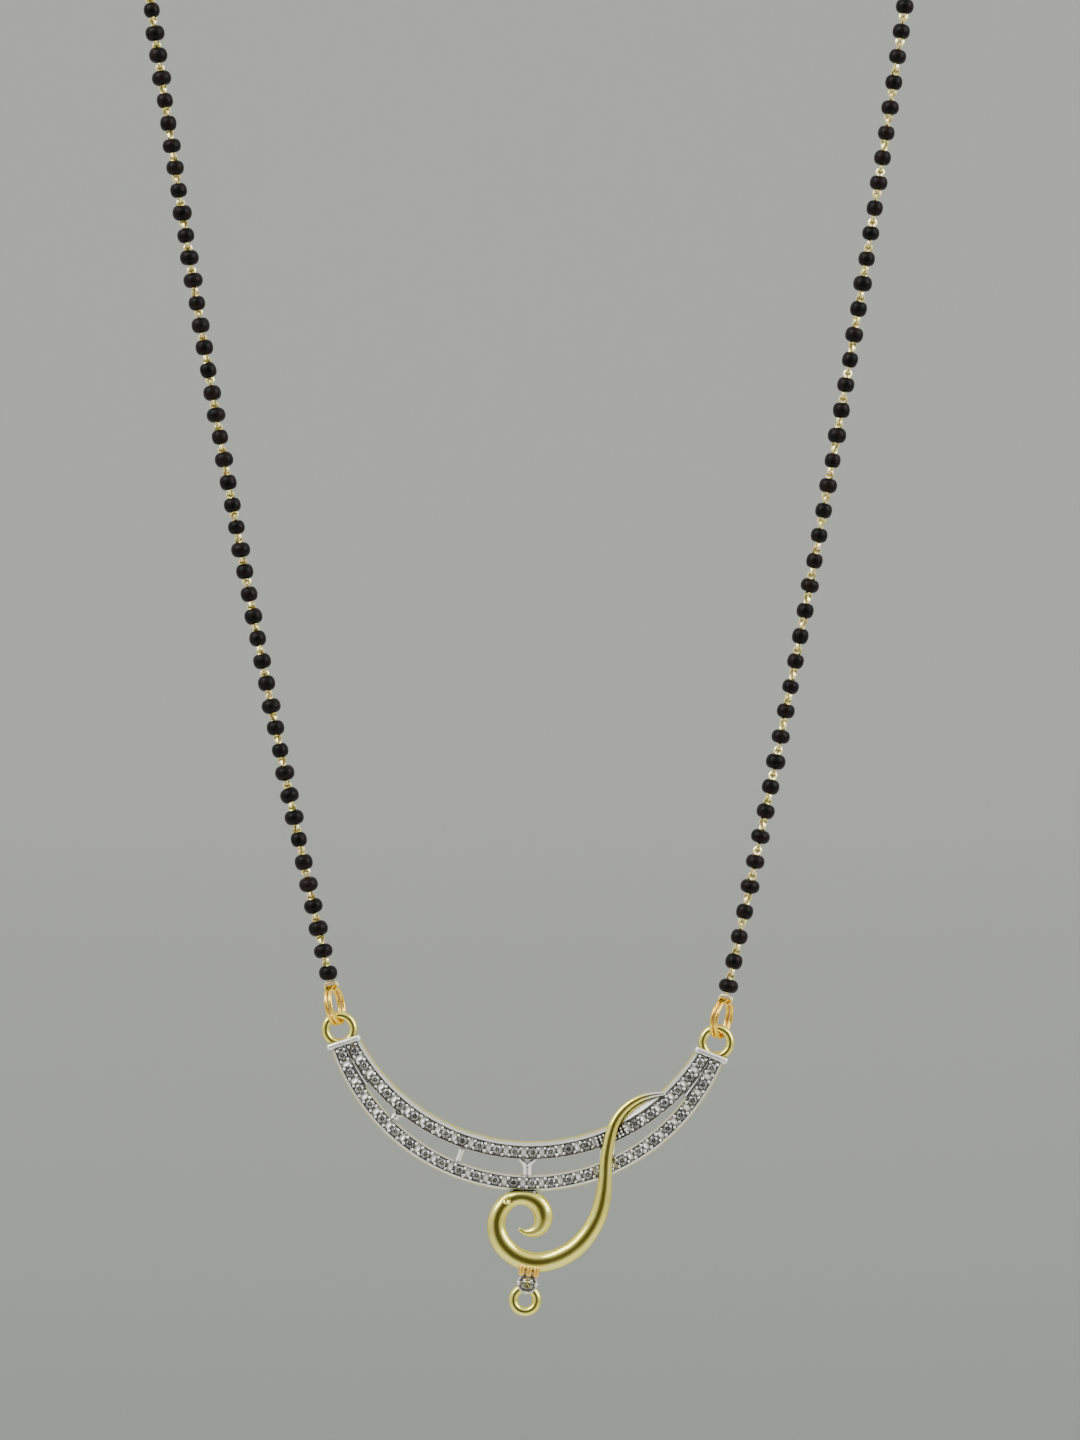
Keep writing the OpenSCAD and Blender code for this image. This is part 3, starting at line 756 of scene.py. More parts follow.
SECTION_GAP = 0.16
ROD_SIDES = 40
NOSE_ANGLES = (25, 50, 72, 88)
# Over what length its width and stand-out are evened
SMOOTH_OVER = 1.6
# The small dent in its coil
DIMPLE = (-1.82, -19.63)
DIMPLE_R = 0.32
DIMPLE_DEPTH = 0.36


def scroll_rows(section_gap):
    """x, up, front, heading, half width and half depth of each section of the scroll."""
    x, up = UPPER.point(TIP_ANGLE, UPPER.r_in + TIP_FLANK_SHARE * BROAD_FLANK)
    heading = SCROLL_HEADING
    wide, out = TIP_SHARE, SCROLL[0][3]
    rows = [(x, up, out, heading, wide)]
    for radius, turn, wide_to, out_to in SCROLL:
        length = radius * SCROLL_H * math.radians(abs(turn))
        n = max(2, math.ceil(length / section_gap))
        for k in range(1, n + 1):
            middle = heading + turn * (k - 0.5) / n
            x += length / n * cos(middle)
            up += length / n * sin(middle)
            share = k / n
            rows.append((x, up, out + (out_to - out) * share, heading + turn * share,
                         wide + (wide_to - wide) * share))
        heading += turn
        wide, out = wide_to, out_to
    rows = np.array(rows)
    return np.stack([rows[:, 0], rows[:, 1], rows[:, 2] * SCROLL_OUT, rows[:, 3],
                     rows[:, 4] * ROD_W / 2, rows[:, 4] * ROD_W * ROD_FLAT / 2], axis=1)


def smoothed(values, steps):
    """A running mean, with the first and last value carried on past the ends."""
    ends = np.concatenate([np.full(steps, values[0]), values, np.full(steps, values[-1])])
    window = np.ones(2 * steps + 1) / (2 * steps + 1)
    return np.convolve(ends, window, mode="valid")


def rounded_end(rows, at_start):
    """Sections that close an end of the scroll with a round nose."""
    first = rows[0] if at_start else rows[-1]
    way = -1 if at_start else 1
    made = []
    for angle in NOSE_ANGLES:
        row = first.copy()
        reach = way * first[4] * sin(angle)
        row[0] += reach * cos(first[3])
        row[1] += reach * sin(first[3])
        row[4:6] *= cos(angle)
        made.append(row)
    return np.array(made[::-1] if at_start else made)


def scroll_shape():
    """The scroll's rod, which swells and thins along its way, with round ends and a dent."""
    rows = scroll_rows(SECTION_GAP)
    steps = round(SMOOTH_OVER / 2 / SECTION_GAP)
    for column in (2, 4, 5):
        rows[:, column] = smoothed(rows[:, column], steps)
    rows = np.concatenate([rounded_end(rows, True), rows, rounded_end(rows, False)])
    angles = 2 * math.pi * (np.arange(ROD_SIDES) + 0.5) / ROD_SIDES
    heading = np.radians(rows[:, 3])
    across = rows[:, 4, None] * np.cos(angles)
    sections = np.stack([rows[:, 0, None] - np.sin(heading)[:, None] * across,
                         rows[:, 1, None] + np.cos(heading)[:, None] * across,
                         rows[:, 2, None] + rows[:, 5, None] * np.sin(angles)], axis=2)
    points, faces = skin(sections)
    away = np.hypot(points[:, 0] - DIMPLE[0], points[:, 1] - DIMPLE[1]) / DIMPLE_R
    in_front = points[:, 2] > 0
    points[:, 2] -= np.where(in_front, DIMPLE_DEPTH * np.exp(-away ** 4), 0)
    return Shape(hung(points), faces)


ROD_ROWS = scroll_rows(STONE_PITCH / 4)


def clear_of_rod(x, up):
    """Whether a stone at this place would lie beside the scroll, not under it."""
    away = np.hypot(ROD_ROWS[:, 0] - x, ROD_ROWS[:, 1] - up) - ROD_ROWS[:, 4]
    return away.min() > STONE_D / 2 + ROD_CLEAR


def row_cells(bar):
    """The angles of the places along a bar, and whether each of them holds a stone."""
    least_step = math.degrees(STONE_PITCH / bar.row_r)
    end = (END_W + STONE_D + GRAIN_D) / 2 + ROW_END_CLEAR
    room = bar.span - math.degrees(end / bar.row_r)
    n = 2 * int(room / least_step + 0.5)
    angles = [room * (2 * i / (n - 1) - 1) for i in range(n)]
    return 2 * room / (n - 1), [(a, clear_of_rod(*bar.point(a, bar.row_r))) for a in angles]


# The bars: a swept outline with a sunk channel, and in the channel a seat for each stone

# Width of the rim beside the channel, how deep the channel is sunk, and its extra dip
RIM = 0.07
RIM_SLANT = 0.015
SUNK = 0.11
VALLEY = 0.14
# Where the dip starts, as a share of the way from a stone to the half-way line
VALLEY_FROM = 0.74
CELL_STEPS = 8
END_STEPS = 5
# How far the bar's edges are rounded: at the channel, at the front and at the back
LIP_ROUND = 0.012
FRONT_ROUND = 0.03
BACK_ROUND = 0.12
# The seat of a stone from its point up: radius and height from the bar's front
SEAT_RINGS = ((0.12, -0.56), (0.3, -0.42), (0.5, -0.2), (0.565, -0.15), (0.565, -0.115))
LIP_R = 0.58
BLEND_STEPS = 3


def rounded_outline(corners):
    """Rounds each corner of an open outline. A corner is radius, front and rounding."""
    made = [corners[0][:2]]
    for before, corner, after in zip(corners, corners[1:], corners[2:]):
        here = np.array(corner[:2])
        back = np.array(before[:2]) - here
        on = np.array(after[:2]) - here
        start = here + back / np.linalg.norm(back) * corner[2]
        end = here + on / np.linalg.norm(on) * corner[2]
        made.extend([tuple(start), tuple((start + 2 * here + end) / 4), tuple(end)])
    made.append(corners[-1][:2])
    return made


def bar_outline(bar):
    """The outline from the channel's outer edge, round the back, to its inner edge."""
    floor = BAR_FRONT - SUNK
    return rounded_outline([
        (bar.face_out - RIM, floor, 0),
        (bar.face_out - RIM + RIM_SLANT, BAR_FRONT, LIP_ROUND),
        (bar.face_out, BAR_FRONT, FRONT_ROUND),
        (bar.r_out, BAR_BACK, BACK_ROUND),
        (bar.r_in, BAR_BACK, BACK_ROUND),
        (bar.face_in, BAR_FRONT, FRONT_ROUND),
        (bar.face_in + RIM - RIM_SLANT, BAR_FRONT, LIP_ROUND),
        (bar.face_in + RIM, floor, 0)])


def channel_front(along, across):
    """Height of the channel's floor. It dips half way between stones."""
    near = np.clip((abs(along) - VALLEY_FROM) / (1 - VALLEY_FROM), 0, 1)
    dip = near * near * (3 - 2 * near) * (1 - abs(across) ** 4)
    return BAR_FRONT - SUNK - VALLEY * dip


def square_ring():
    """Places round the edge of a square from -1 to 1, from its lower left corner on."""
    side = [-1 + 2 * i / CELL_STEPS for i in range(CELL_STEPS)]
    return ([(s, -1) for s in side] + [(1, s) for s in side]
            + [(-s, 1) for s in side] + [(-1, -s) for s in side])


def seat_cell(half_along, half_across):
    """Points of a cell with a drilled seat, as along, across and front, and its faces."""
    edge = np.array(square_ring())
    angles = np.radians(-135 + 360 * np.arange(len(edge)) / len(edge))
    unit = np.stack([np.cos(angles), np.sin(angles)], axis=1)
    rings = [np.column_stack([unit * r, np.full(len(edge), BAR_FRONT + z)])
             for r, z in SEAT_RINGS]
    outer = edge * (half_along, half_across)
    for k in range(BLEND_STEPS + 1):
        share = k / BLEND_STEPS
        flat = unit * LIP_R * (1 - share) + outer * share
        front = channel_front(flat[:, 0] / half_along, flat[:, 1] / half_across)
        rings.append(np.column_stack([flat, front]))
    points, faces = skin(np.array(rings))
    return points, faces[:-1]


def plain_cell(half_along, half_across, steps):
    """Points of a cell without a stone, as a grid, and its faces."""
    points = []
    for i in range(steps + 1):
        for j in range(CELL_STEPS + 1):
            along, across = 2 * i / steps - 1, 2 * j / CELL_STEPS - 1
            dip = channel_front(along, across) if steps == CELL_STEPS else BAR_FRONT - SUNK
            points.append((along * half_along, across * half_across, dip))
    return np.array(points), grid_faces(steps + 1, CELL_STEPS + 1)


def bend_to_bar(points, bar, angle):
    """Lays along, across and front on a bar's face, round an angle."""
    along, across, front = np.asarray(points, float).T
    a = np.radians(angle) + along / bar.row_r
    r = bar.row_r + across
    return np.stack([r * np.sin(a), bar.up - r * np.cos(a), front], axis=1)


def add_channel(shape, bar, half_across, step, cells):
    """The floor of a bar's channel: a cell for each place, and a plain one at each end."""
    row_end = len(cells) / 2 * step
    half_along = math.radians(step) * bar.row_r / 2
    for angle, has_stone in cells:
        if has_stone:
            points, faces = seat_cell(half_along, half_across)
        else:
            points, faces = plain_cell(half_along, half_across, CELL_STEPS)
        shape.add(bend_to_bar(points, bar, angle), faces)
    end_half = math.radians(bar.span - row_end) * bar.row_r / 2
    for way in (-1, 1):
        points, faces = plain_cell(end_half, half_across, END_STEPS)
        shape.add(bend_to_bar(points, bar, way * (bar.span + row_end) / 2), faces)


def shell_angles(bar, step, cells):
    """The angles of the shell's sections, one for each row of points of the channel."""
    row_end = len(cells) / 2 * step
    end = bar.span - row_end
    return ([-bar.span + end * i / END_STEPS for i in range(END_STEPS)]
            + [-row_end + step * i / CELL_STEPS for i in range(len(cells) * CELL_STEPS)]
            + [row_end + end * i / END_STEPS for i in range(END_STEPS + 1)])


def bar_shape(bar):
    """One bar, closed all round, with a seat for each of its stones."""
    shape = Shape()
    step, cells = row_cells(bar)
    half_across = (bar.face_out - bar.face_in) / 2 - RIM
    add_channel(shape, bar, half_across, step, cells)
    outline = bar_outline(bar)
    rows = np.array([[(*bar.point(a, r), front) for r, front in outline]
                     for a in shell_angles(bar, step, cells)])
    shape.add(rows.reshape(-1, 3), grid_faces(*rows.shape[:2]))
    floor = [(bar.row_r + half_across * (2 * j / CELL_STEPS - 1), BAR_FRONT - SUNK)
             for j in range(1, CELL_STEPS)]
    for angle in (-bar.span, bar.span):
        ring = [(*bar.point(angle, r), front) for r, front in outline + floor]
        shape.add(ring, [tuple(range(len(ring)))])
    return shape


# The grains

GRAIN_ALONG = 0.63 * STONE_D
GRAIN_ACROSS = 0.43 * STONE_D
# Where the grains of a cell without a stone are
FIELD_ALONG = (-0.78, -0.26, 0.26, 0.78)
FIELD_ACROSS = (-0.42, 0.01, 0.42)
# Radius as a share, and height from the bar's front
GRAIN_PROFILE = ((1, -0.3), (1, -0.02), (0.94, 0.05), (0.78, 0.11), (0.5, 0.15), (0, 0.165))
GRAIN_SIDES = 12
GRAIN_LEAN = 0.07
# What chance makes of a grain: its radius and height as shares, and its place both ways
GRAIN_RADII = (0.85, 1.12)
GRAIN_HEIGHTS = (0.85, 1.15)
STRAY_ALONG = 0.03
STRAY_ACROSS = 0.02


def grain(chance):
    """One raised grain, a little different each time, leaning along +X at its top."""
    r = GRAIN_D / 2 * chance.uniform(*GRAIN_RADII)
    tall = chance.uniform(*GRAIN_HEIGHTS)
    profile = [(r * share, z * tall if z > 0 else z) for share, z in GRAIN_PROFILE]
    points, faces = turned_profile(profile, GRAIN_SIDES)
    lean = np.clip(points[:, 2] / GRAIN_H, 0, 1) * GRAIN_LEAN
    return points + np.column_stack([lean, lean * 0, lean * 0]), faces


def add_grain(shape, bar, angle, along, across, chance):
    """Sets a grain on a bar, by its place from the middle of a cell. It leans to the middle."""
    points, faces = grain(chance)
    towards = math.degrees(math.atan2(-across, -along))
    along += chance.uniform(-STRAY_ALONG, STRAY_ALONG)
    across += chance.uniform(-STRAY_ACROSS, STRAY_ACROSS)
    points = shift(turn_z(points, towards), along, across, BAR_FRONT)
    shape.add(bend_to_bar(points, bar, angle), faces)


def add_grains(shape, bar, chance):
    """Four grains round each stone, and a field of them in each cell without a stone."""
    for angle, has_stone in row_cells(bar)[1]:
        if has_stone:
            alongs, acrosses = (-GRAIN_ALONG, GRAIN_ALONG), (-GRAIN_ACROSS, GRAIN_ACROSS)
        else:
            alongs, acrosses = FIELD_ALONG, FIELD_ACROSS
        for along in alongs:
            for across in acrosses:
                add_grain(shape, bar, angle, along, across, chance)


def set_bar(bar, chance):
    """A bar with its grains, hung in its place."""
    shape = bar_shape(bar)
    add_grains(shape, bar, chance)
    return Shape(hung(shape.joined()), shape.faces)


# Cut stones

# Shares of a stone's diameter, or of its radius for the table, the stars and lower halves
TABLE = 0.56
CROWN = 0.16
GIRDLE = 0.03
PAVILION = 0.42
GIRDLE_SINK = 0.08
STAR_R = 0.78
LOWER_HALF_R = 0.24
FOLDS = 8
# How far a stone may be turned and tipped in its seat
STONE_TURN = 45
STONE_TIP = 4


def brilliant_points(d):
    """The corners of a brilliant, from its table down to its point."""
    r = d / 2
    turn = 180 / FOLDS
    crown, deep = CROWN * d, PAVILION * d
    star_up = crown * (1 - STAR_R * cos(turn)) / (1 - TABLE)
    half_up = -GIRDLE * d - deep * (1 - LOWER_HALF_R * cos(turn))
    made = []
    for share, up, n, start in (
            (TABLE, crown, FOLDS, 0),
            (STAR_R, star_up, FOLDS, turn),
            (1, 0, 2 * FOLDS, 0),
            (1, -GIRDLE * d, 2 * FOLDS, 0),
            (LOWER_HALF_R, half_up, FOLDS, turn)):
        made += [(share * r * cos(start + 360 * i / n), share * r * sin(start + 360 * i / n), up)
                 for i in range(n)]
    return np.array(made + [(0, 0, -GIRDLE * d - deep)])


def brilliant(d):
    """A round brilliant cut, table up, with the top of its girdle at height zero."""
    star = FOLDS
    top = star + FOLDS
    bottom = top + 2 * FOLDS
    low = bottom + 2 * FOLDS
    point = low + FOLDS
    faces = [tuple(range(FOLDS))]
    for i in range(FOLDS):
        before, after = (i - 1) % FOLDS, (i + 1) % FOLDS
        main, half, following = 2 * i, 2 * i + 1, 2 * after
        faces += [
            (i, after, star + i),
            (i, star + i, top + main, star + before),
            (star + i, top + main, top + half),
            (star + i, top + half, top + following),
            (top + main, top + half, bottom + half, bottom + main),
            (top + half, top + following, bottom + following, bottom + half),
            (low + i, bottom + main, bottom + half),
            (low + i, bottom + half, bottom + following),
            (point, low + before, bottom + main, low + i)]
    return brilliant_points(d), faces


def stone_row(bar, chance):
    """The stones of a bar, each turned and tipped a little in its seat."""
    shape = Shape()
    for angle, has_stone in row_cells(bar)[1]:
        if has_stone:
            points, faces = brilliant(STONE_D)
            points = tipped(points, chance.uniform(0, STONE_TURN),
                            chance.uniform(-STONE_TIP, STONE_TIP), chance.uniform(0, 360))
            points = shift(points, z=BAR_FRONT - GIRDLE_SINK * STONE_D)
            shape.add(hung(bend_to_bar(points, bar, angle)), faces)
    return shape


# End bars, eyelets and struts

END_CORNER = 0.3
END_ROUND_STEPS = 5
STRUT_STEPS = 14
STRUT_SIDES = 20
# The parts of a strut. Columns: length and start as shares of its reach, lean, half width
# at foot and head as shares of its width, and how much wider it is where it meets a bar.
PLAIN_PARTS = ((2, -1, 0, 0.42, 0.42, 0.16),)
FORK_PARTS = (
    (STEM_SHARE, -1, 0, 0.48, 0.4, 0.14),
    (ARM_SHARE, 0, -FORK_LEAN, 0.25, 0.22, 0.05),
    (ARM_SHARE, 0, FORK_LEAN, 0.25, 0.22, 0.05))
STRUTS = (*((angle, FORK_W, FORK_PARTS) for angle in FORK_ANGLES),
          (PLAIN_STRUT_ANGLE, STRUT_W, PLAIN_PARTS))
# How far an end plate's foot lies before the bars' back, and how its ridge rises a degree
PLATE_FOOT = 0.4
PLATE_STEPS = 24
RIDGE_RISE = 0.02
# The ridge's section: the place across, and the height below the crest
RIDGE = ((-1, 0.25), (-0.4, 0.07), (0, 0), (0.4, 0.07), (1, 0.25))


def both_ends(points, faces):
    """A form at the right end of the pendant, and its mirror image at the left."""
    shape = Shape()
    for side in (LEFT, RIGHT):
        shape.add(hung(on_side(points, side)), faces)
    return shape


def end_bars():
    """The smooth bar across each end of the pendant."""
    size = (END_LEN, END_W, BAR_T + 2 * END_PROUD)
    points, faces = soft_box(size, END_CORNER, END_ROUND_STEPS)
    return both_ends(shift(turn_z(points, -END_SLOPE), END_X, END_Z, BAR_MID), faces)


def eyelets():
    """The round ring at each end of the pendant."""
    points, faces = torus(EYELET_R, EYELET_WIRE)
    return both_ends(shift(points, PENDANT_W / 2), faces)


def strut_rod(length, start_half, end_half, flare):
    """A short strut along +Y, wider where it meets the bars."""
    shares = np.linspace(0, 1, STRUT_STEPS)
    path = [(0, length * share, 0) for share in shares]
    half = start_half + (end_half - start_half) * shares
    half = half + flare * ((1 - shares) ** 4 + shares ** 4)
    return rod(path, (0, 0, 1), half, STRUT_T / 2, STRUT_SIDES)


def gap_at(angle):
    """How far apart the bars are at an angle round the upper one."""
    return LOWER.r_in + (UPPER.up - LOWER.up) * cos(angle) - UPPER.r_out


def strut_reach(angle):
    """How far a strut reaches from the middle of the gap, both ways."""
    return gap_at(angle) / 2 + NARROW_FLANK + STRUT_BITE


def in_gap(points, angle):
    """Puts points in the gap between the bars, with their Y towards the upper bar."""
    points = shift(points, y=-(UPPER.r_out + gap_at(angle) / 2), z=BAR_MID)
    return hung(shift(turn_z(points, angle), y=UPPER.up))


def struts():
    """The struts in the gap: plain ones, and forked ones with two arms to the upper bar."""
    shape = Shape()
    for angle, width, parts in STRUTS:
        reach = strut_reach(angle)
        for length, start, lean, foot, head, flare in parts:
            points, faces = strut_rod(reach * length, width * foot, width * head, flare)
            points = turn_z(shift(points, y=reach * start), lean)
            shape.add(in_gap(points, angle), faces)
    return shape


def end_plates():
    """The plate with a ridge between the bars where they run together, at both ends."""
    apart = UPPER.up - LOWER.up
    foot = BAR_BACK + PLATE_FOOT
    rows = []
    for angle in np.linspace(GAP_END_ANGLE, UPPER.span, PLATE_STEPS):
        far = apart * cos(angle) + math.sqrt(LOWER.r_in ** 2 - (apart * sin(angle)) ** 2)
        middle = (UPPER.r_out + far) / 2
        half = max(middle - UPPER.r_out + NARROW_FLANK + PLATE_BITE, PLATE_LEAST)
        crest = BAR_FRONT - PLATE_SINK + RIDGE_RISE * (angle - GAP_END_ANGLE)
        section = [(across, crest - fall) for across, fall in RIDGE]
        rows.append([(*UPPER.point(angle, middle + half * across), front)
                     for across, front in [(-1, foot), *section, (1, foot)]])
    return both_ends(*skin(np.array(rows)))


# The metal that joins the scroll to the bars

# How far the web slopes down from the bar's front, for each millimetre towards the scroll
WEB_FALL = 0.42
SOLDER_CORNER = 0.25


def scroll_web(shape):
    """The plate between the scroll's thin end and the inner edge of the upper bar."""
    web_r = UPPER.r_in + WEB_FLANK_SHARE * BROAD_FLANK
    held = [row[:2] for row in scroll_rows(SECTION_GAP)
            if math.hypot(row[0], UPPER.up - row[1]) < web_r]
    last = math.degrees(math.atan2(held[-1][0], UPPER.up - held[-1][1]))
    back = BAR_MID - STRUT_T / 2
    rows = []
    for i, (x, up) in enumerate(held):
        angle = TIP_ANGLE + (last - TIP_ANGLE) * i / (len(held) - 1)
        far_x, far_up = UPPER.point(angle, web_r)
        near_front = BAR_FRONT - WEB_FALL * math.hypot(far_x - x, far_up - up)
        rows.append([(x, up, back), (x, up, near_front),
                     (far_x, far_up, BAR_FRONT), (far_x, far_up, back)])
    points, faces = skin(np.array(rows))
    shape.add(hung(points), faces)


def scroll_joints():
    """The web, the upright strut behind the scroll, and the solder under its coil."""
    shape = Shape()
    scroll_web(shape)
    reach = strut_reach(UPRIGHT_ANGLE) / cos(UPRIGHT_ANGLE)
    points, faces = strut_rod(2 * reach, UPRIGHT_W / 2, UPRIGHT_W / 2, 0)
    points = turn_z(shift(points, y=-reach), -UPRIGHT_ANGLE)
    shape.add(in_gap(points, UPRIGHT_ANGLE), faces)
    points, faces = soft_box((SOLDER_W, 2 * SOLDER_REACH, SOLDER_T), SOLDER_CORNER)
    points = shift(points, SOLDER_X, LOWER.up - LOWER.r_out, BAR_MID)
    shape.add(hung(points), faces)
    return shape


# The drop

ROD_UNDERSIDE = sorted((row[0], row[1] - row[4]) for row in scroll_rows(1)
                       if abs(row[3] - 180) < UNDERSIDE_SPREAD)
DROP_TOP = float(np.interp(DROP_X, *zip(*ROD_UNDERSIDE)))
DROP_FRONT = SCROLL_OUT * SCROLL[UNDER_COIL][3]
CUP_UP = -CUP_D / 2 - CUP_GAP
RING_UP = CUP_UP - (CUP_D + DROP_RING_D) / 2 + DROP_RING_WIRE * RING_LAP_SHARE
CLAW_R = CUP_D / 2 - CLAW_D / 3
CLAW_BEND = 0.12
CUP_SIDES = 48
CLAW_SIDES = 20
STUD_SIDES = 28
STUD_TOP_ANGLES = (20, 40, 60, 78)
# The cup's outside from back to front, as shares of its radius and of half its depth
CUP_OUTSIDE = ((0, -1), (0.8, -1), (0.93, -0.88), (1, -0.5), (1, 0.82), (0.97, 0.96),
               (0.93, 1))
SEAT_FLARE = 0.03


def at_drop(points, up=0.0):
    """Hangs points from the underside of the scroll, where the drop meets it."""
    leaning = turn_z(shift(points, y=up), -DROP_LEAN)
    return hung(shift(leaning, DROP_X, DROP_TOP, DROP_FRONT))


def drop_studs():
    """Three upright studs with round tops, side by side under the scroll."""
    shape = Shape()
    r = STUD_D / 2
    profile = [(0, -STUD_H), (r * 0.8, -STUD_H), (r, -STUD_H * 0.9), (r, -r)]
    profile += [(r * cos(a), -r + r * sin(a)) for a in STUD_TOP_ANGLES] + [(0, 0)]
    for i in (-1, 0, 1):
        points, faces = turned_profile(profile, STUD_SIDES)
        points = np.column_stack([points[:, 0], points[:, 2], points[:, 1]])
        shape.add(at_drop(shift(points, i * STUD_PITCH, 0, STUD_OUT), STUD_OVER), faces)
    return shape


def drop_cup():
    """The cup of the drop's stone, with four claws that bend over the stone's edge."""
    r, front = CUP_D / 2, CUP_T / 2
    seat_r = DROP_STONE_D / 2 + STONE_GAP
    seat_floor = front - (GIRDLE + PAVILION) * DROP_STONE_D - STONE_GAP
    profile = [(r * share, front * deep) for share, deep in CUP_OUTSIDE]
    profile += [(seat_r + SEAT_FLARE, front), (seat_r, front * 0.94), (seat_r, front * 0.7),
                (seat_r * 0.3, seat_floor), (0, seat_floor)]
    points, faces = turned_profile(profile, CUP_SIDES)
    shape = Shape(at_drop(points, CUP_UP), faces)
    claw = CLAW_D / 2
    top = front + GRAIN_H
    profile = [(0, -front * 0.8), (claw * 0.9, -front * 0.8), (claw, 0), (claw, top - 0.16),
               (claw * 0.92, top - 0.08), (claw * 0.7, top - 0.02), (0, top + 0.01)]
    points, faces = turned_profile(profile, CLAW_SIDES)
    lean_from = front * 0.6
    points[:, 0] -= CLAW_BEND * np.clip((points[:, 2] - lean_from) / (top - lean_from), 0, 1)
    for angle in (0, 90, 180, 270):
        shape.add(at_drop(turn_z(shift(points, CLAW_R), angle), CUP_UP), faces)
    return shape


def drop_ring():
    """The open ring below the cup."""
    points, faces = torus(DROP_RING_R, DROP_RING_WIRE)
    return Shape(at_drop(points, RING_UP), faces)


def drop_stone():
    """The stone in the cup, with the top of its girdle level with the cup's rim."""
    points, faces = brilliant(DROP_STONE_D)
    return Shape(at_drop(shift(points, z=CUP_T / 2), CUP_UP), faces)


# Camera, stage and light

FRAME_H = FRAME_PX[1] / PX_PER_MM


def make_camera():
    """A camera straight in front, whose frame at the necklace is the photograph's."""
    data = bpy.data.cameras.new("camera")
    data.sensor_width = SENSOR
    data.lens = SENSOR * CAMERA_AWAY / FRAME_H
    camera = add_object("camera", data)
    camera.location = (
        (FRAME_PX[0] / 2 - ORIGIN_PX_X) / PX_PER_MM * MM,
        -CAMERA_AWAY * MM,
        (TOP_EDGE_UP - FRAME_H / 2) * MM)
    camera.rotation_euler = (math.radians(90), 0, 0)
    bpy.context.scene.camera = camera


# The stage is in metres: a pale floor, and a wall that is soft grey behind the object, with
# painted shade towards its foot
FLOOR_UP = -0.75
WALL_BACK = 1.9
WALL_TOP = 2.2
BEND = 0.5
HALF_WIDTH = 7.0
FLOOR_SHADE = (0.75, 0.74, 0.7)
WALL_FOOT = (0.262, 0.278, 0.262)
WALL_SHADE = (0.368, 0.386, 0.36)
# The heights at which the wall has its foot's darker, painted shade and its own grey
FOOT_UP = -0.5
SHADE_UP = -0.15


def matt_material(name, gloss):
    """A matt material for the stage, with its node tree and its shader."""
    material, tree, shader = new_material(name)
    fill(tree, shader, {"Roughness": 0.9, "Specular IOR Level": gloss})
    return material, tree, shader


def backdrop_material():
    """Pale at the floor's height, which falls off to soft grey behind the object, with painted
    shade that darkens the wall towards its foot.
    """
    material, tree, shader = matt_material("backdrop", 0.2)
    height = along_axis(tree, own_place(tree), "Z")
    low = mix_colour(tree, map_range(tree, height, FLOOR_UP, FOOT_UP), FLOOR_SHADE, WALL_FOOT)
    # Painted shade: the wall is darker at its foot and turns paler up to its own grey.
    high = mix_colour(tree, map_range(tree, height, FOOT_UP, SHADE_UP), low, WALL_SHADE)
    fill(tree, shader, {"Base Color": high})
    return material


def add_stage(name, points, faces, material):
    """A smooth sheet with one material, such as the floor, the wall or the card."""
    mesh = bpy.data.meshes.new(name)
    mesh.from_pydata(points, [], faces)
    for polygon in mesh.polygons:
        polygon.use_smooth = True
    mesh.materials.append(material)
    made = add_object(name, mesh)
    return made


def add_strip(name, section, material):
    """A broad sheet whose side view is the section."""
    points = [(x, y, z) for y, z in section for x in (-HALF_WIDTH, HALF_WIDTH)]
    faces = [(2 * i, 2 * i + 1, 2 * i + 3, 2 * i + 2) for i in range(len(section) - 1)]
    return add_stage(name, points, faces, material)


def make_backdrop():
    """A pale floor, and a wall that curves up from it, far behind the object."""
    shade = backdrop_material()
    add_strip("floor", [(-HALF_WIDTH, FLOOR_UP), (WALL_BACK - BEND, FLOOR_UP)], shade)
    section = [(WALL_BACK - BEND + BEND * sin(a), FLOOR_UP + BEND * (1 - cos(a)))
               for a in range(0, 91, 6)]
    wall = add_strip("wall", section + [(WALL_BACK, WALL_TOP)], shade)
    wall.visible_glossy = False


# The dark card, just behind the camera
CARD_Y = -(CAMERA_AWAY - 20) * MM
CARD_Z = (TOP_EDGE_UP - FRAME_H / 2) * MM - 0.05
CARD_HALF = 0.5
CARD_DARK = (0.095, 0.085, 0.055)
CARD_PALE = (0.9, 0.89, 0.85)
CARD_DARK_R = 0.18


def card_material():
    """Dark in the middle and pale towards the edges, so that its reflection has soft edges."""
    material, tree, shader = matt_material("dark_card", 0)
    away = add_node(tree, "VectorMath", {0: own_place(tree), 1: (0, CARD_Y, CARD_Z)},
                    operation="DISTANCE")
    factor = map_range(tree, away.outputs["Value"], CARD_DARK_R, CARD_HALF)
    fill(tree, shader, {"Base Color": mix_colour(tree, factor, CARD_DARK, CARD_PALE)})
    return material


def make_dark_card():
    """A dark card round the camera, as a studio has, which polished metal shows as a band."""
    half = CARD_HALF
    points = [(-half, CARD_Y, CARD_Z - half), (half, CARD_Y, CARD_Z - half),
              (half, CARD_Y, CARD_Z + half), (-half, CARD_Y, CARD_Z + half)]
    card = add_stage("dark_card", points, [(0, 1, 2, 3)], card_material())
    card.visible_camera = False
    card.visible_diffuse = False
    card.visible_shadow = False


# The light, in metres and watts
LIGHT_AIM = (0, 0, -0.15)
SKY_LOW = (0.62, 0.6, 0.55)
SKY_HIGH = (1, 0.99, 0.96)
SKY_BEHIND = (0.5, 0.5, 0.47)
SKY_STRENGTH = 1.25


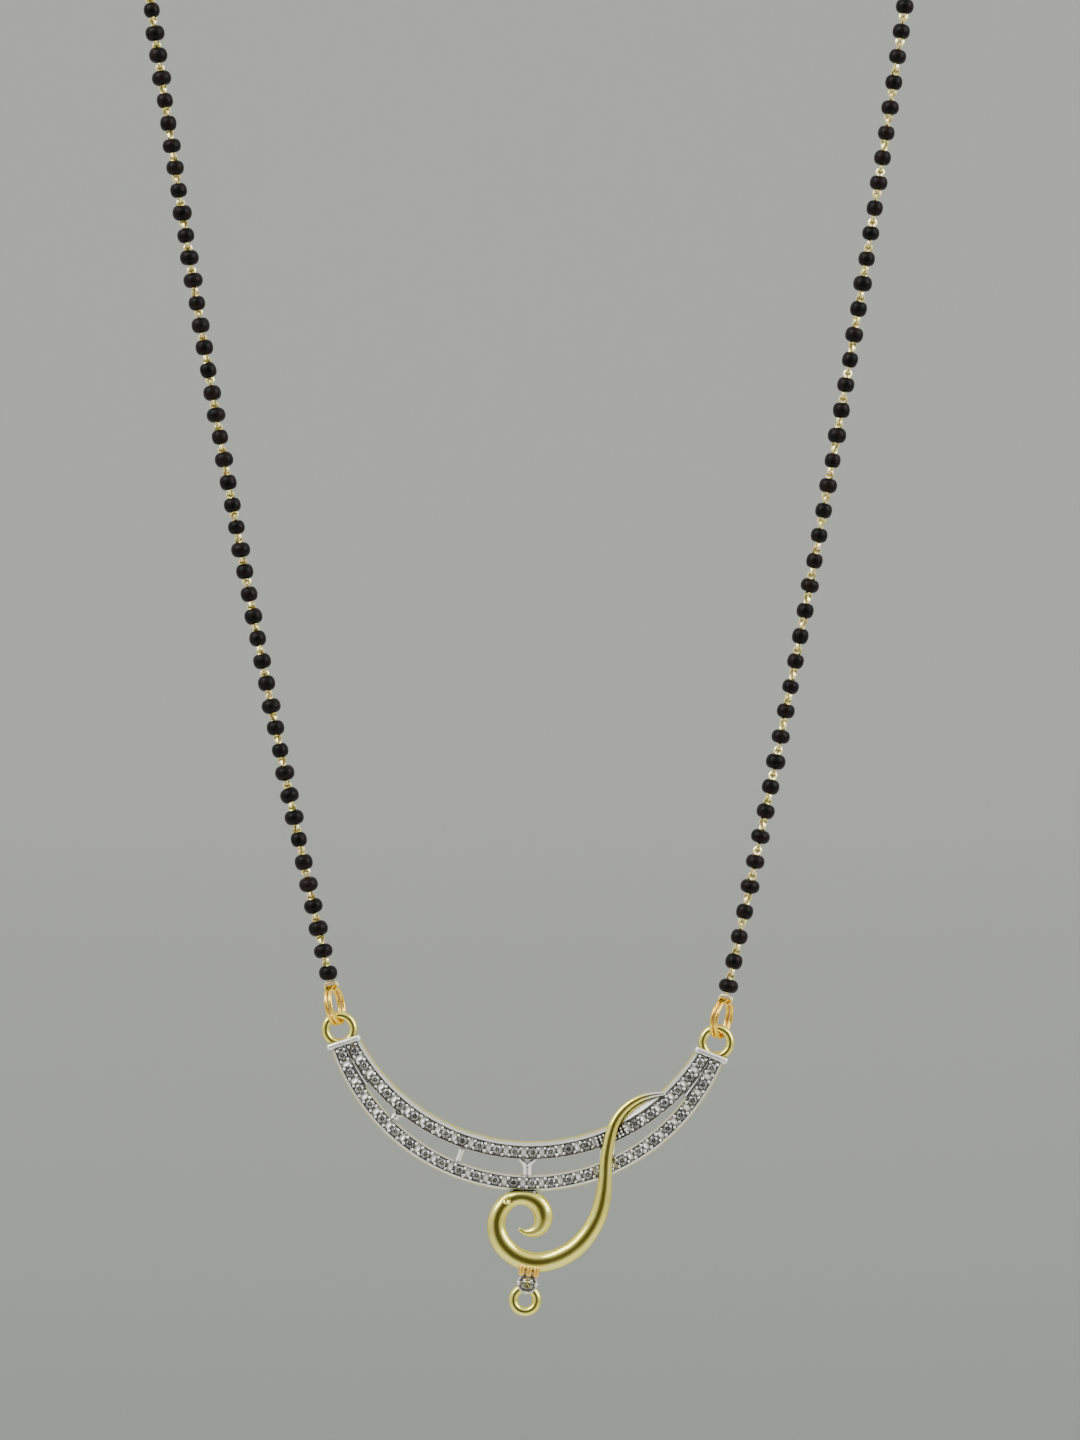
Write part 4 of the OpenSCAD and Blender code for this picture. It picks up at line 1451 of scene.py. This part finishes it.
def add_light(name, place, size, power):
    """A soft lamp that shines at the middle of the necklace."""
    data = bpy.data.lights.new(name, "AREA")
    data.shape = "RECTANGLE"
    data.size, data.size_y = size
    data.energy = power
    light = add_object(name, data)
    light.location = place
    light.rotation_mode = "QUATERNION"
    light.rotation_quaternion = (Vector(LIGHT_AIM) - Vector(place)).to_track_quat("-Z", "Y")


def make_sky():
    """A pale room, darker below and behind the object."""
    world = bpy.data.worlds.new("studio")
    bpy.context.scene.world = world
    world.use_nodes = True
    tree = world.node_tree
    way = add_node(tree, "TexCoord", {}).outputs["Generated"]
    above = map_range(tree, along_axis(tree, way, "Z"), -0.35, 0.35)
    behind = map_range(tree, along_axis(tree, way, "Y"), 0.2, 0.9, 0, 0.8)
    sky = mix_colour(tree, above, SKY_LOW, SKY_HIGH)
    fill(tree, tree.nodes["Background"], {
        "Color": mix_colour(tree, behind, sky, SKY_BEHIND),
        "Strength": SKY_STRENGTH})


# Build everything

random_source = random.Random(8135)
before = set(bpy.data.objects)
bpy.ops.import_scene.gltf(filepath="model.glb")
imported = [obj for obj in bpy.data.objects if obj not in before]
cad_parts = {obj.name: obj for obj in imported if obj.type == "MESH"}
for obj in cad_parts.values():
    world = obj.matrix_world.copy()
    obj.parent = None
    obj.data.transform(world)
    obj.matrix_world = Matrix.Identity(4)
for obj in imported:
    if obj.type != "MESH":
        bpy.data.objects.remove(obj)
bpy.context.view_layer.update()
make_camera()

for side in (LEFT, RIGHT):
    name = SIDE_NAME[side]
    strand = Strand(side)
    add_piece(f"{name}_bead_string", string_of_beads(strand, random_source), BEAD_GLASS,
              "chain", [f"{name}_beads"])
    add_piece(f"{name}_wire_links", wire_links(strand, random_source), LINK_GOLD,
              "chain", [f"{name}_links"])
    for place, which, slit_at in ((1, "outer", 150), (-1, "inner", 205)):
        add_piece(f"{name}_{which}_jump_ring", jump_ring(side, place, slit_at), WARM_GOLD,
                  "chain", [f"{name}_jump_ring_{which}"])

for bar in (UPPER, LOWER):
    add_piece(f"{bar.name}_bar", set_bar(bar, random_source), PLATED,
              "pendant", ["pendant"])
    add_piece(f"{bar.name}_stone_row", stone_row(bar, random_source), STONE,
              "pendant", [f"{bar.name}_stones"], sharp=FACETED)

for name, shape, material in (
        ("end_bars", end_bars(), SATIN_PLATED),
        ("struts", struts(), SATIN_PLATED),
        ("end_plates", end_plates(), SATIN_PLATED),
        ("scroll_joints", scroll_joints(), PLATED),
        ("eyelets", eyelets(), PALE_GOLD),
        ("scroll", scroll_shape(), SCROLL_GOLD),
        ("drop_studs", drop_studs(), STUD_GOLD),
        ("drop_cup", drop_cup(), PLATED),
        ("drop_ring", drop_ring(), PALE_GOLD)):
    add_piece(name, shape, material, "pendant", ["pendant"])
add_piece("cut_drop_stone", drop_stone(), DROP_STONE, "pendant", ["drop_stone"],
          sharp=FACETED)

for node in ("clasp", "left_end_ring", "right_end_ring"):
    for material_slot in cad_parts[node].material_slots:
        material_slot.material = WARM_GOLD

make_backdrop()
make_dark_card()
make_sky()
add_light("key", (-0.7, -0.7, 0.6), (0.9, 0.8), 14)
add_light("fill", (0.9, -0.45, 0.3), (0.6, 0.8), 8)
